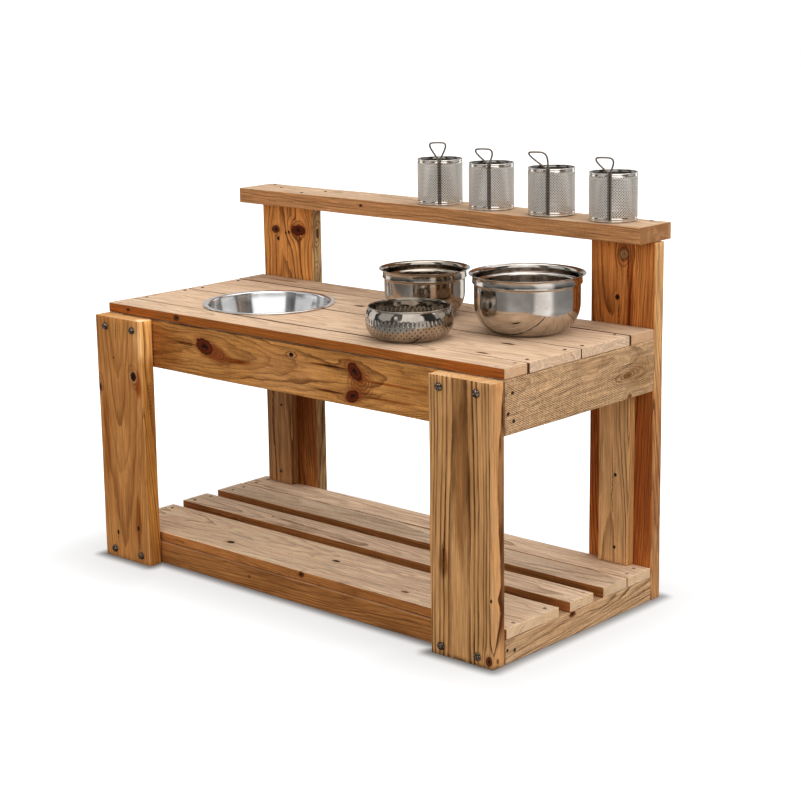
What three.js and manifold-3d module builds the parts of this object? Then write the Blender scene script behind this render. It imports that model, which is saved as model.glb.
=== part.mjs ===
// A children's outdoor mud kitchen: a pine bench with a slatted deck, a boarded worktop with a
// steel bowl sunk in it as a sink, a shelf on two rear posts, three loose bowls and four small
// wire baskets. Millimetres, +Z up. X runs along the worktop to the right, Y to the back.

import * as THREE from 'three';
import { mergeVertices } from 'three/addons/utils/BufferGeometryUtils.js';
import Module from 'manifold-3d';

const wasm = await Module();
wasm.setup();
const { Manifold, Mesh } = wasm;

// Stand: driving dimensions. Places are measured from the left end and the front of the rails.
const frameLength = 1000;
const frameDepth = 426;
const tableUnderside = 490;
const railThickness = 44;
const upperRailHeight = 95;
const lowerRailHeight = 44;
const boardThickness = 19;
const slatThickness = 19;
const timberEase = 2.5;
const mergeTolerance = 1e-4;

const legThickness = 33;
const leftLegWidth = 134;
const rightLegWidth = 139;

const postThickness = 30;
const leftPostWidth = 146;
const rightPostWidth = 142;
const leftPostInset = 5;

const battenThickness = 20;
const leftBattenWidth = 76;
const leftBattenInset = 21;
const rightBattenWidth = 68;
const rightBattenInset = 38;

const shelfUnderside = 664;
const shelfThickness = 32;
const shelfDepth = 98;
const shelfFrontOverhang = 44;
const shelfLeftOverhang = 18;
const shelfRightInset = 3;

// Worktop boards and deck slats, from front to back. The first joint of the worktop lies at a
// share of the way to the sink's hole, the second just behind the sink's middle, the third at a
// share of the way from the hole to the back. The inset shares say how many joints wide the step
// is between a board's sawn ends and the rails' ends.
const boardJoint = 1.5;
const tableSetback = 2;
const frontJointShare = 0.934;
const sinkJointSetback = 22.3;
const backJointShare = 0.383;
const tableBoards = [
  { name: 'worktop_board_front', leftShare: 1.3, rightShare: 2 },
  { name: 'worktop_board_sink_front', leftShare: 0.7, rightShare: 0.3 },
  { name: 'worktop_board_sink_back', leftShare: 1.3, rightShare: 0.7 },
  { name: 'worktop_board_back', leftShare: 1, rightShare: 0.3 },
];
const deckSetback = 4;
const deckGap = 30.25;
const deckSlats = [
  { name: 'deck_slat_front', widthShare: 0.4056, leftShare: 0.7, rightShare: 0.7 },
  { name: 'deck_slat_second', widthShare: 0.1917, leftShare: -3.3, rightShare: 0.3 },
  { name: 'deck_slat_third', widthShare: 0.2, leftShare: -4, rightShare: 0.7 },
  { name: 'deck_slat_back', widthShare: 0.2027, leftShare: -2.7, rightShare: 0.3 },
];

// Coach screws hold the legs to the rails from the front, and the posts from the back.
const screwClearance = 0.3;
const boreOverrun = 2;
const coachScrew = {
  shankRadius: 3, length: 48, flangeRadius: 7.5, flangeHeight: 1.2, headRadius: 5.6, headHeight: 4.6,
  crownRadius: 3.4, crownHeight: 1.2, recessRadius: 2.2, recessDepth: 2.4, sides: 8,
};
const leftLegScrewInsets = [31, 24];
const rightLegScrewInsets = [25, 34];
const postScrewInset = 26;
const coachScrewDrop = 20;
const coachScrewFootHeight = 18;

// Sink bowl, let into the two middle boards and resting on its flange.
const steelWall = 1.2;
const sinkAlongShare = 0.2635;
const sinkRailGap = 25.45;
const sinkFlangeWidth = 10;
const sinkRimHeight = 3;
const sinkMouthRadius = 118;
const sinkBaseRadius = 72;
const sinkDepth = 92;
const sinkCurve = 40;
const sinkClearance = 1.5;

// Loose bowls on the worktop. Each mixing bowl stands clear of the shelf above, so it lifts off.
const restGap = 0.2;
const largeMixingBowl = { alongShare: 0.831, shelfGap: 2.5, rimRadius: 104.5, height: 106 };
const smallMixingBowl = { alongShare: 0.58, shelfGap: 11, rimRadius: 85, height: 89 };
const mixingLip = { overhang: 6.5, drop: 2.4, neckDepth: 20, stepWidth: 3.6, stepDrop: 5 };
const mixingBaseShare = 0.5;
const mixingShoulderShare = 0.5;
// The hammered bowl stands in front of the large one: the gap between them, and the way to it.
const hammeredBowl = {
  gap: 31.7, turn: -2.217,
  rimRadius: 72, bulge: 6, bellyHeight: 29, baseRadius: 50, height: 57,
};
const bowlSegments = 24;
const bowlArcSteps = 4;

// Small wire baskets on the shelf.
const basketRadius = 44;
const basketHeight = 87;
const basketWall = 1.2;
const bandHeight = 13;
const bandClearance = 0.3;
const basketColumns = 16;
const basketRows = 3;
const latticeBar = 2.2;
const handleWire = 2.6;
const handleWireGap = 0.5;
const handleLoopWidth = 33;
const handleCorner = 9;
const wireSides = 5;
const handleSteps = 32;
const basketSetback = 9;
const handleLoopRise = 32;
// Each basket's place along the shelf, its shares of the setback from the shelf's front edge and of
// the loop's rise above the rim, the way its handle faces, and how far the loop leans as it rises.
const baskets = [
  { alongShare: 0.504, setbackShare: 0.89, riseShare: 1.09, turn: 0.68, leanShare: -0.2 },
  { alongShare: 0.629, setbackShare: 1, riseShare: 0.94, turn: 0.58, leanShare: -0.5 },
  { alongShare: 0.769, setbackShare: 1, riseShare: 1, turn: 0.5, leanShare: -0.8 },
  { alongShare: 0.905, setbackShare: 1.11, riseShare: 0.94, turn: 0.47, leanShare: -0.45 },
];

// Worked out from the driving dimensions.
const tableTop = tableUnderside + boardThickness;
const deckTop = lowerRailHeight + slatThickness;
const postTop = shelfUnderside;
const shelfTop = shelfUnderside + shelfThickness;
const postFront = frameDepth;
const postBack = frameDepth + postThickness;
const battenFront = frameDepth - battenThickness;
const shelfFront = frameDepth - shelfFrontOverhang;
const shelfBack = shelfFront + shelfDepth;
const shelfLength = shelfLeftOverhang + frameLength - shelfRightInset;
const upperRailFoot = tableUnderside - upperRailHeight;
const headStandout = coachScrew.flangeHeight + coachScrew.headHeight;
const sinkRimRadius = sinkMouthRadius + sinkFlangeWidth;
const sinkHoleRadius = sinkMouthRadius + sinkClearance;
const sinkCentre = {
  x: frameLength * sinkAlongShare,
  y: railThickness + sinkRailGap + sinkMouthRadius,
};
const partMiddle = {
  x: (frameLength - shelfLeftOverhang) / 2,
  y: (shelfBack - legThickness - screwClearance - headStandout) / 2,
};

const pine = new THREE.MeshStandardMaterial({ color: 0xb98552, roughness: 0.75, metalness: 0 });
const paleBoard = new THREE.MeshStandardMaterial({ color: 0xd2b08a, roughness: 0.8, metalness: 0 });
const darkPine = new THREE.MeshStandardMaterial({ color: 0x9a5f33, roughness: 0.75, metalness: 0 });
const zincSteel = new THREE.MeshStandardMaterial({ color: 0x9a9a98, roughness: 0.4, metalness: 1 });
const polishedSteel = new THREE.MeshStandardMaterial({ color: 0xc4c3c0, roughness: 0.16, metalness: 1 });
const wireSteel = new THREE.MeshStandardMaterial({ color: 0xb4b2ae, roughness: 0.3, metalness: 1 });

// Solids

// Turns a closed geometry into a solid, without repeated vertices or faces of no area.
function solid(geometry) {
  const plain = geometry.index ? geometry.toNonIndexed() : geometry.clone();
  for (const name of Object.keys(plain.attributes)) {
    if (name !== 'position') plain.deleteAttribute(name);
  }
  const merged = mergeVertices(plain, mergeTolerance);
  const index = merged.index.array;
  const kept = [];
  for (let i = 0; i < index.length; i += 3) {
    const [a, b, c] = [index[i], index[i + 1], index[i + 2]];
    if (a !== b && b !== c && c !== a) kept.push(a, b, c);
  }
  const vertProperties = new Float32Array(merged.attributes.position.array);
  const triVerts = new Uint32Array(kept);
  if (signedVolume(vertProperties, triVerts) < 0) triVerts.reverse();
  return new Manifold(new Mesh({ numProp: 3, vertProperties, triVerts }));
}

// The volume inside a set of triangles, negative where they face inwards.
function signedVolume(positions, triangles) {
  const corner = (i) => new THREE.Vector3().fromArray(positions, 3 * triangles[i]);
  let sum = 0;
  for (let i = 0; i < triangles.length; i += 3) {
    sum += corner(i).dot(corner(i + 1).cross(corner(i + 2)));
  }
  return sum / 6;
}

// Turns a solid back into a geometry.
function geometryOf(body) {
  const mesh = body.getMesh();
  const geometry = new THREE.BufferGeometry();
  const positions = new Float32Array(mesh.numVert * 3);
  for (let i = 0; i < mesh.numVert; i += 1) {
    for (let k = 0; k < 3; k += 1) positions[3 * i + k] = mesh.vertProperties[mesh.numProp * i + k];
  }
  geometry.setAttribute('position', new THREE.BufferAttribute(positions, 3));
  geometry.setIndex(new THREE.BufferAttribute(new Uint32Array(mesh.triVerts), 1));
  geometry.computeVertexNormals();
  return geometry;
}

// A sawn timber between two corners, its four long edges eased, running along one axis.
function timber(axis, low, high) {
  const [u, v, w] = { x: ['y', 'z', 'x'], y: ['z', 'x', 'y'], z: ['x', 'y', 'z'] }[axis];
  const [u0, u1, v0, v1] = [low[u], high[u], low[v], high[v]];
  const ease = timberEase;
  const section = new THREE.Shape();
  section.moveTo(u0 + ease, v0);
  section.lineTo(u1 - ease, v0);
  section.absarc(u1 - ease, v0 + ease, ease, -Math.PI / 2, 0, false);
  section.lineTo(u1, v1 - ease);
  section.absarc(u1 - ease, v1 - ease, ease, 0, Math.PI / 2, false);
  section.lineTo(u0 + ease, v1);
  section.absarc(u0 + ease, v1 - ease, ease, Math.PI / 2, Math.PI, false);
  section.lineTo(u0, v0 + ease);
  section.absarc(u0 + ease, v0 + ease, ease, Math.PI, 1.5 * Math.PI, false);
  const depth = high[w] - low[w];
  const geometry = new THREE.ExtrudeGeometry(section, { depth, bevelEnabled: false, curveSegments: 1 });
  const unit = (name) => new THREE.Vector3().setComponent('xyz'.indexOf(name), 1);
  geometry.applyMatrix4(new THREE.Matrix4().makeBasis(unit(u), unit(v), unit(w)));
  geometry.translate(...['x', 'y', 'z'].map((name) => (name === w ? low[w] : 0)));
  return solid(geometry);
}

// A solid of revolution about the Z axis, from a list of [radius, height].
function revolved(profile, sides) {
  const points = profile.map(([radius, height]) => new THREE.Vector2(radius, height));
  const geometry = new THREE.LatheGeometry(points, sides);
  geometry.rotateX(Math.PI / 2);
  return geometry;
}

// Points on a quarter of an ellipse, from one angle to another, about a centre.
function arc(centre, radii, fromAngle, toAngle, steps) {
  return Array.from({ length: steps + 1 }, (_, i) => {
    const angle = fromAngle + ((toAngle - fromAngle) * i) / steps;
    return [centre[0] + radii[0] * Math.cos(angle), centre[1] + radii[1] * Math.sin(angle)];
  });
}

// Closes the outer face of a bowl, read from the base's middle to the rim, with an inner face.
function shellProfile(outer, wall) {
  const inner = outer.map(([radius, height], i) => {
    const before = outer[Math.max(i - 1, 0)];
    const after = outer[Math.min(i + 1, outer.length - 1)];
    const run = new THREE.Vector2(after[0] - before[0], after[1] - before[1]).normalize();
    return [Math.max(radius - run.y * wall, 0), height + run.x * wall];
  });
  inner[0][0] = 0;
  return [...outer, ...inner.reverse()];
}

// Coach screws

// Outline of a coach screw pointing down: shank, washer flange, domed head and driving recess.
function coachScrewProfile() {
  const s = coachScrew;
  const top = s.flangeHeight + s.headHeight;
  const recessFloor = top - s.recessDepth;
  return [
    [0, -s.length], [s.shankRadius, -s.length], [s.shankRadius, 0], [s.flangeRadius, 0],
    [s.flangeRadius, s.flangeHeight], [s.headRadius, s.flangeHeight + s.crownHeight],
    [s.crownRadius, top], [s.recessRadius, top], [s.recessRadius, recessFloor], [0, recessFloor],
  ];
}

function coachBoreProfile() {
  const radius = coachScrew.shankRadius + screwClearance;
  const depth = coachScrew.length + screwClearance;
  return [[0, -depth], [radius, -depth], [radius, boreOverrun], [0, boreOverrun]];
}

// A body of revolution laid along Y, its tip pointing to the back or to the front.
function laidAlong(profile, { x, y, z }, isTipBack) {
  const geometry = revolved(profile, coachScrew.sides);
  geometry.rotateX(isTipBack ? Math.PI / 2 : -Math.PI / 2);
  geometry.translate(x, y, z);
  return solid(geometry);
}

// Timbers

const timbers = {};
const upper = { low: upperRailFoot, high: tableUnderside };
const lower = { low: 0, high: lowerRailHeight };

// Four rails make a rectangle: the side rails run right through, the others fit between them.
function railFrame(prefix, { low, high }) {
  const [x0, x1, x2, x3] = [0, railThickness, frameLength - railThickness, frameLength];
  const [y0, y1, y2, y3] = [0, railThickness, frameDepth - railThickness, frameDepth];
  const rail = (axis, fromX, toX, fromY, toY) => (
    timber(axis, { x: fromX, y: fromY, z: low }, { x: toX, y: toY, z: high }));
  timbers[`${prefix}_front_rail`] = rail('x', x1, x2, y0, y1);
  timbers[`${prefix}_back_rail`] = rail('x', x1, x2, y2, y3);
  timbers[`${prefix}_side_rail_left`] = rail('y', x0, x1, y0, y3);
  timbers[`${prefix}_side_rail_right`] = rail('y', x2, x3, y0, y3);
}

const uprights = {
  front_leg_left: { x: 0, width: leftLegWidth },
  front_leg_right: { x: frameLength - rightLegWidth, width: rightLegWidth },
  rear_post_left: { x: leftPostInset, width: leftPostWidth },
  rear_post_right: { x: frameLength - rightPostWidth, width: rightPostWidth },
};

function upright(name, front, back, top) {
  const { x, width } = uprights[name];
  timbers[name] = timber('z', { x, y: front, z: 0 }, { x: x + width, y: back, z: top });
}

// Lays boards over the rails, one from each front edge to the back edge of the same number.
function layBoards(boards, fronts, backs, low, high) {
  boards.forEach(({ name, leftShare, rightShare }, i) => {
    const right = frameLength - boardJoint * rightShare;
    const front = { x: boardJoint * leftShare, y: fronts[i], z: low };
    timbers[name] = timber('x', front, { x: right, y: backs[i], z: high });
  });
}

railFrame('upper', upper);
railFrame('lower', lower);
upright('front_leg_left', -legThickness, 0, tableUnderside);
upright('front_leg_right', -legThickness, 0, tableUnderside);
upright('rear_post_left', postFront, postBack, postTop);
upright('rear_post_right', postFront, postBack, postTop);

const holeFront = sinkCentre.y - sinkHoleRadius;
const holeBack = sinkCentre.y + sinkHoleRadius;
const boardBacks = [
  tableSetback + frontJointShare * (holeFront - tableSetback),
  sinkCentre.y + sinkJointSetback - boardJoint / 2,
  holeBack + backJointShare * (frameDepth - holeBack),
  frameDepth,
];
const boardFronts = [tableSetback, ...boardBacks.slice(0, -1).map((back) => back + boardJoint)];
layBoards(tableBoards, boardFronts, boardBacks, tableUnderside, tableTop);

// Two wide gaps, then a narrow joint in front of the last slat.
const deckJoints = [deckGap, deckGap, boardJoint];
const deckRoom = deckJoints.reduce((room, joint) => room - joint, frameDepth - deckSetback);
const slatFronts = [];
const slatBacks = [];
deckSlats.forEach(({ widthShare }, i) => {
  slatFronts.push(i === 0 ? deckSetback : slatBacks[i - 1] + deckJoints[i - 1]);
  slatBacks.push(slatFronts[i] + deckRoom * widthShare);
});
layBoards(deckSlats, slatFronts, slatBacks, lowerRailHeight, deckTop);

const battens = {
  batten_left: { x: leftBattenInset, width: leftBattenWidth },
  batten_right: { x: frameLength - rightBattenInset - rightBattenWidth, width: rightBattenWidth },
};
for (const [name, { x, width }] of Object.entries(battens)) {
  const high = { x: x + width, y: frameDepth, z: upperRailFoot };
  timbers[name] = timber('z', { x, y: battenFront, z: deckTop }, high);
}
timbers.shelf_board = timber('x', { x: -shelfLeftOverhang, y: shelfFront, z: shelfUnderside },
  { x: shelfLength - shelfLeftOverhang, y: shelfBack, z: shelfTop });

// The round hole for the sink goes through whichever boards it reaches.
const sinkHole = revolved([
  [0, tableUnderside - boreOverrun], [sinkHoleRadius, tableUnderside - boreOverrun],
  [sinkHoleRadius, tableTop + boreOverrun], [0, tableTop + boreOverrun],
], bowlSegments);
sinkHole.translate(sinkCentre.x, sinkCentre.y, 0);
tableBoards.forEach(({ name }, i) => {
  const isCut = boardBacks[i] > holeFront && boardFronts[i] < holeBack;
  if (isCut) timbers[name] = timbers[name].subtract(solid(sinkHole));
});

// Four coach screws hold each upright: two into the lower rails and two into the upper ones.
const coachScrews = {};

function screwUpright(name, insets, isFront) {
  const { x, width } = uprights[name];
  const side = isFront ? 'front' : 'back';
  const levels = { foot: ['lower', coachScrewFootHeight], head: ['upper', tableUnderside - coachScrewDrop] };
  const sides = { left: x + insets[0], right: x + width - insets[1] };
  const seat = isFront ? -legThickness - screwClearance : postBack + screwClearance;
  for (const [end, [level, z]] of Object.entries(levels)) {
    for (const [edge, across] of Object.entries(sides)) {
      const place = { x: across, y: seat, z };
      const bore = laidAlong(coachBoreProfile(), place, isFront);
      const rails = [`${level}_side_rail_left`, `${level}_side_rail_right`, `${level}_${side}_rail`];
      for (const piece of [name, ...rails]) timbers[piece] = timbers[piece].subtract(bore);
      coachScrews[`coach_screw_${name}_${end}_${edge}`] = laidAlong(coachScrewProfile(), place, isFront);
    }
  }
}

screwUpright('front_leg_left', leftLegScrewInsets, true);
screwUpright('front_leg_right', rightLegScrewInsets, true);
screwUpright('rear_post_left', [postScrewInset, postScrewInset], false);
screwUpright('rear_post_right', [postScrewInset, postScrewInset], false);

// Bowls

// The sink: a flat rolled flange, a short straight wall, a wide curve and a flat base.
function sinkBody() {
  const foot = sinkRimHeight - sinkDepth;
  const centre = [sinkBaseRadius, foot + sinkCurve];
  const bend = [sinkMouthRadius - sinkBaseRadius, sinkCurve];
  const innerBend = bend.map((radius) => radius - steelWall);
  const outer = [
    [0, foot],
    ...arc(centre, bend, -Math.PI / 2, 0, bowlArcSteps),
    [sinkMouthRadius, 0],
    [sinkRimRadius - steelWall, 0],
    [sinkRimRadius, sinkRimHeight / 2],
    [sinkRimRadius - steelWall, sinkRimHeight],
  ];
  const inner = [
    [sinkMouthRadius, sinkRimHeight - steelWall / 2],
    [sinkMouthRadius - steelWall, -steelWall],
    ...arc(centre, innerBend, 0, -Math.PI / 2, bowlArcSteps),
    [0, foot + steelWall],
  ];
  return revolved([...outer, ...inner], bowlSegments);
}

// A mixing bowl: flat base, round shoulder, straight wall, a step out to the neck and a flared lip.
function mixingBowlBody({ rimRadius, height }) {
  const neck = rimRadius - mixingLip.overhang;
  const wall = neck - mixingLip.stepWidth;
  const base = rimRadius * mixingBaseShare;
  const shoulder = height * mixingShoulderShare;
  const outer = [
    [0, 0],
    ...arc([base, shoulder], [wall - base, shoulder], -Math.PI / 2, 0, bowlArcSteps),
    [wall, height - mixingLip.neckDepth - mixingLip.stepDrop],
    [neck, height - mixingLip.neckDepth],
    [neck, height - mixingLip.drop - steelWall],
    [rimRadius - steelWall, height - mixingLip.drop],
    [rimRadius, height - steelWall],
  ];
  return revolved(shellProfile(outer, steelWall), bowlSegments);
}

// The hammered bowl: flat base, full belly and a mouth drawn in below a narrow rolled edge.
function hammeredBowlBody({ rimRadius, bulge, bellyHeight, baseRadius, height }) {
  const lowerReach = [rimRadius + bulge - baseRadius, bellyHeight];
  const upperReach = [bulge, height - bellyHeight];
  const outer = [
    [0, 0],
    ...arc([baseRadius, bellyHeight], lowerReach, -Math.PI / 2, 0, bowlArcSteps),
    ...arc([rimRadius, bellyHeight], upperReach, 0, Math.PI / 2, bowlArcSteps - 1).slice(1),
  ];
  return revolved(shellProfile(outer, steelWall), bowlSegments);
}

// Baskets

const meshInner = basketRadius - basketWall;
const bandOuter = meshInner - bandClearance;
const bandInner = bandOuter - basketWall;

// The upper band: a plain strip inside the mesh with its top edge rolled outwards over it.
function topBand() {
  const rim = basketHeight - basketWall;
  const hem = basketHeight - bandHeight;
  return revolved([
    [bandInner, hem], [bandOuter, hem], [bandOuter, rim - basketWall],
    [basketRadius, rim], [basketRadius, basketHeight], [bandInner, basketHeight], [bandInner, hem],
  ], basketColumns);
}

// The base pan: a disc, an upturned band inside the mesh and a rolled lower edge under it.
function basePan() {
  return revolved([
    [0, 0], [basketRadius, 0], [basketRadius, basketWall], [bandOuter, 2 * basketWall],
    [bandOuter, bandHeight], [bandInner, bandHeight], [bandInner, basketWall], [0, basketWall],
  ], basketColumns);
}

// The mesh sleeve: flat panels round a ring, each row of panels pierced by a diamond opening.
// A panel is four corners and four diamond points, on its outer and on its inner face.
function meshSleeve() {
  const foot = 2 * basketWall + bandClearance;
  const rise = basketHeight - 2 * basketWall - bandClearance - foot;
  const rowHeight = rise / basketRows;
  const panelAngle = (2 * Math.PI) / basketColumns;
  const positions = [];
  const corner = (radius, column, row) => {
    const angle = column * panelAngle;
    return [radius * Math.sin(angle), -radius * Math.cos(angle), foot + row * rowHeight];
  };
  const between = (a, b, share) => a.map((value, i) => value + (b[i] - value) * share);
  const face = (...points) => points.forEach((point) => positions.push(...point));
  const quad = (a, b, c, d) => { face(a, b, c); face(a, c, d); };
  const panel = (radius, column, row) => {
    const square = [corner(radius, column, row), corner(radius, column + 1, row),
      corner(radius, column + 1, row + 1), corner(radius, column, row + 1)];
    const panelWidth = 2 * radius * Math.sin(panelAngle / 2);
    const middles = square.map((point, i) => between(point, square[(i + 1) % 4], 0.5));
    const insets = [latticeBar / rowHeight, latticeBar / panelWidth];
    const diamond = middles.map((point, i) => between(point, middles[(i + 2) % 4], insets[i % 2]));
    return { square, diamond };
  };
  for (let column = 0; column < basketColumns; column += 1) {
    for (let row = 0; row < basketRows; row += 1) {
      const outside = panel(basketRadius, column, row);
      const inside = panel(meshInner, column, row);
      for (let i = 0; i < 4; i += 1) {
        const next = (i + 1) % 4;
        face(outside.square[i], outside.square[next], outside.diamond[i]);
        face(outside.diamond[i], outside.square[next], outside.diamond[next]);
        face(inside.square[next], inside.square[i], inside.diamond[i]);
        face(inside.square[next], inside.diamond[i], inside.diamond[next]);
        quad(outside.diamond[i], outside.diamond[next], inside.diamond[next], inside.diamond[i]);
      }
      const edge = (a, b) => quad(outside.square[a], outside.square[b], inside.square[b], inside.square[a]);
      if (row === 0) edge(1, 0);
      if (row === basketRows - 1) edge(3, 2);
    }
  }
  const geometry = new THREE.BufferGeometry();
  geometry.setAttribute('position', new THREE.Float32BufferAttribute(positions, 3));
  return geometry;
}

// The handle: one wire that runs up the outside of the mesh, round a loop and down again.
function handleWireBody(loopRise, leanShare) {
  const y = -(basketRadius + bandClearance + handleWire / 2);
  const half = (handleWire + handleWireGap) / 2;
  const wide = handleLoopWidth / 2;
  const foot = handleWire / 2;
  const crest = basketHeight + loopRise;
  const shoulder = crest - handleCorner;
  const at = (x, z) => new THREE.Vector3(x + leanShare * Math.max(z - basketHeight, 0), y, z);
  const curl = (side) => [
    at(side * half, basketHeight), at(side * half, basketHeight + handleCorner),
    at(side * wide, shoulder - handleCorner), at(side * wide, shoulder),
  ];
  const crown = (side) => [at(side * wide, shoulder), at(side * wide, crest), at(0, crest)];
  const path = new THREE.CurvePath();
  path.add(new THREE.LineCurve3(at(-half, foot), at(-half, basketHeight)));
  path.add(new THREE.CubicBezierCurve3(...curl(-1)));
  path.add(new THREE.QuadraticBezierCurve3(...crown(-1)));
  path.add(new THREE.QuadraticBezierCurve3(...crown(1).reverse()));
  path.add(new THREE.CubicBezierCurve3(...curl(1).reverse()));
  path.add(new THREE.LineCurve3(at(half, basketHeight), at(half, foot)));
  const section = new THREE.Shape(Array.from({ length: wireSides }, (_, i) => {
    const angle = (2 * Math.PI * i) / wireSides;
    return new THREE.Vector2(Math.cos(angle), Math.sin(angle)).multiplyScalar(handleWire / 2);
  }));
  return new THREE.ExtrudeGeometry(section, { steps: handleSteps, extrudePath: path, bevelEnabled: false });
}

// Assembly

const kitchen = new THREE.Group();
kitchen.position.set(-partMiddle.x, -partMiddle.y, 0);

function addPiece(name, body, material, parent) {
  const mesh = new THREE.Mesh(geometryOf(body), material);
  mesh.name = name;
  parent.add(mesh);
}

function timberMaterial(name) {
  if (name.startsWith('rear_post')) return darkPine;
  return name.startsWith('worktop_board') || name.startsWith('deck_slat') ? paleBoard : pine;
}

for (const [name, body] of Object.entries(timbers)) addPiece(name, body, timberMaterial(name), kitchen);
for (const [name, body] of Object.entries(coachScrews)) addPiece(name, body, zincSteel, kitchen);

function standingAt(x, y, z, turn = 0) {
  const group = new THREE.Group();
  group.position.set(x, y, z);
  group.rotation.z = turn;
  kitchen.add(group);
  return group;
}

const sinkPlace = standingAt(sinkCentre.x, sinkCentre.y, tableTop + restGap);
addPiece('sink_bowl', solid(sinkBody()), polishedSteel, sinkPlace);
function addMixingBowl(name, bowl) {
  const y = shelfFront - bowl.shelfGap - bowl.rimRadius;
  const group = standingAt(frameLength * bowl.alongShare, y, tableTop + restGap);
  addPiece(name, solid(mixingBowlBody(bowl)), polishedSteel, group);
  return group.position;
}

const largeBowlPlace = addMixingBowl('large_mixing_bowl', largeMixingBowl);
addMixingBowl('small_mixing_bowl', smallMixingBowl);
const hammeredRadius = hammeredBowl.rimRadius + hammeredBowl.bulge;
const hammeredAway = largeMixingBowl.rimRadius + hammeredBowl.gap + hammeredRadius;
const hammeredPlace = new THREE.Vector3(hammeredAway, 0, 0)
  .applyAxisAngle(new THREE.Vector3(0, 0, 1), hammeredBowl.turn)
  .add(largeBowlPlace);
addPiece('hammered_bowl', solid(hammeredBowlBody(hammeredBowl)), polishedSteel,
  standingAt(...hammeredPlace));

baskets.forEach(({ alongShare, setbackShare, riseShare, turn, leanShare }, i) => {
  const x = shelfLength * alongShare - shelfLeftOverhang;
  const y = shelfFront + basketSetback * setbackShare + basketRadius;
  const group = standingAt(x, y, shelfTop + restGap, turn);
  const prefix = `basket_${i + 1}`;
  addPiece(`${prefix}_base_pan`, solid(basePan()), wireSteel, group);
  addPiece(`${prefix}_top_band`, solid(topBand()), wireSteel, group);
  addPiece(`${prefix}_mesh`, solid(meshSleeve()), wireSteel, group);
  const handle = handleWireBody(handleLoopRise * riseShare, leanShare);
  addPiece(`${prefix}_handle`, solid(handle), wireSteel, group);
});

kitchen.updateMatrixWorld(true);

export default kitchen;
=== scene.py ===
"""Dresses a children's mud kitchen: weathered pine, spun and hammered steel bowls, wire baskets.

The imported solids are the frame. Each piece here is worked out from its own solid's box and rides on
that solid's body. Lengths are metres, and MM turns a size in millimetres into metres.
"""

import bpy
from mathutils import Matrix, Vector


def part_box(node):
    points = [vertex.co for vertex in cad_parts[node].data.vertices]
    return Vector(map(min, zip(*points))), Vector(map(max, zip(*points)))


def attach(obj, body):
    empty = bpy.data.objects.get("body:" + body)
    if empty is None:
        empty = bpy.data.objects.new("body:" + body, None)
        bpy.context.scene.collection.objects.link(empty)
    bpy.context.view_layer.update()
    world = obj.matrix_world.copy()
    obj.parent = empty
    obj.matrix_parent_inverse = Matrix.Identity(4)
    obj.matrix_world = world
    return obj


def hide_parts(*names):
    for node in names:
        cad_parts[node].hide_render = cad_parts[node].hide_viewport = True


bl_info = {
    "name": "Mud Kitchen Looks",
    "version": (1, 0, 0),
    "blender": (4, 5, 0),
    "location": "View3D > Sidebar > Mud Kitchen",
    "description": "Timber, steel and wire finishes for a children's mud kitchen",
    "category": "Add Mesh",
}

import math

import bpy
import numpy as np
from bpy.props import FloatProperty, FloatVectorProperty, PointerProperty
from mathutils import Matrix, Vector

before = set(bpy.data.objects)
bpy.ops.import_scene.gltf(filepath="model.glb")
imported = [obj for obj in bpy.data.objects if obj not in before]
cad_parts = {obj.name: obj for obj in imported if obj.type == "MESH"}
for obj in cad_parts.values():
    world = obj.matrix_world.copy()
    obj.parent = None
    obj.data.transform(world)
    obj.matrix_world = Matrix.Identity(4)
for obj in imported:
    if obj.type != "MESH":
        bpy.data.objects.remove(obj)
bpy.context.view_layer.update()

MM = 0.001
STAND = "stand"
# The stand's own corner: the left end and the front of the rails, on the ground.
CORNER = Vector((*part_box("upper_side_rail_left")[0][:2], 0.0))


def srgb(red, green, blue):
    """A colour as written in a paint chart, 0 to 255 a channel, turned into linear light."""
    share = np.array([red, green, blue]) / 255
    return tuple(np.where(share <= 0.04045, share / 12.92, ((share + 0.055) / 1.055) ** 2.4))


def paint(red, green, blue):
    """Such a colour for a node, which also wants an opacity."""
    return (*srgb(red, green, blue), 1)


# Meshes


def make_mesh(name, points, *face_sets):
    """A mesh from an array of points and arrays of faces, each array with its own number of corners."""
    mesh = bpy.data.meshes.new(name)
    mesh.vertices.add(len(points))
    mesh.vertices.foreach_set("co", np.asarray(points, np.float32).ravel())
    corners = np.concatenate([faces.ravel() for faces in face_sets])
    sizes = np.concatenate([np.full(len(faces), faces.shape[1]) for faces in face_sets])
    mesh.loops.add(len(corners))
    mesh.loops.foreach_set("vertex_index", corners.astype(np.int32))
    mesh.polygons.add(len(sizes))
    mesh.polygons.foreach_set("loop_start", (np.cumsum(sizes) - sizes).astype(np.int32))
    mesh.polygons.foreach_set("use_smooth", np.ones(len(sizes), bool))
    mesh.update(calc_edges=True)
    mesh.validate()
    return mesh


def finish_piece(name, mesh, material, body, nodes=()):
    """Puts a mesh in the scene as a piece of a body, standing for the named solids."""
    piece = bpy.data.objects.new(name, mesh)
    bpy.context.scene.collection.objects.link(piece)
    mesh.materials.append(material)
    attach(piece, body)
    if nodes:
        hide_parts(*nodes)
    return piece


def point_attribute(mesh, name, values):
    """Stores three numbers a point, such as a place in the grain, for the material to read."""
    attribute = mesh.attributes.new(name, "FLOAT_VECTOR", "POINT")
    attribute.data.foreach_set("vector", np.asarray(values, np.float32).ravel())


def grid_faces(rows, columns):
    """Quads between the rows and columns of a grid whose last column meets its first."""
    row, column = np.meshgrid(np.arange(rows - 1), np.arange(columns), indexing="ij")
    after = (column + 1) % columns
    here, above = row * columns, (row + 1) * columns
    return np.stack([here + column, here + after, above + after, above + column], -1).reshape(-1, 4)


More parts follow.
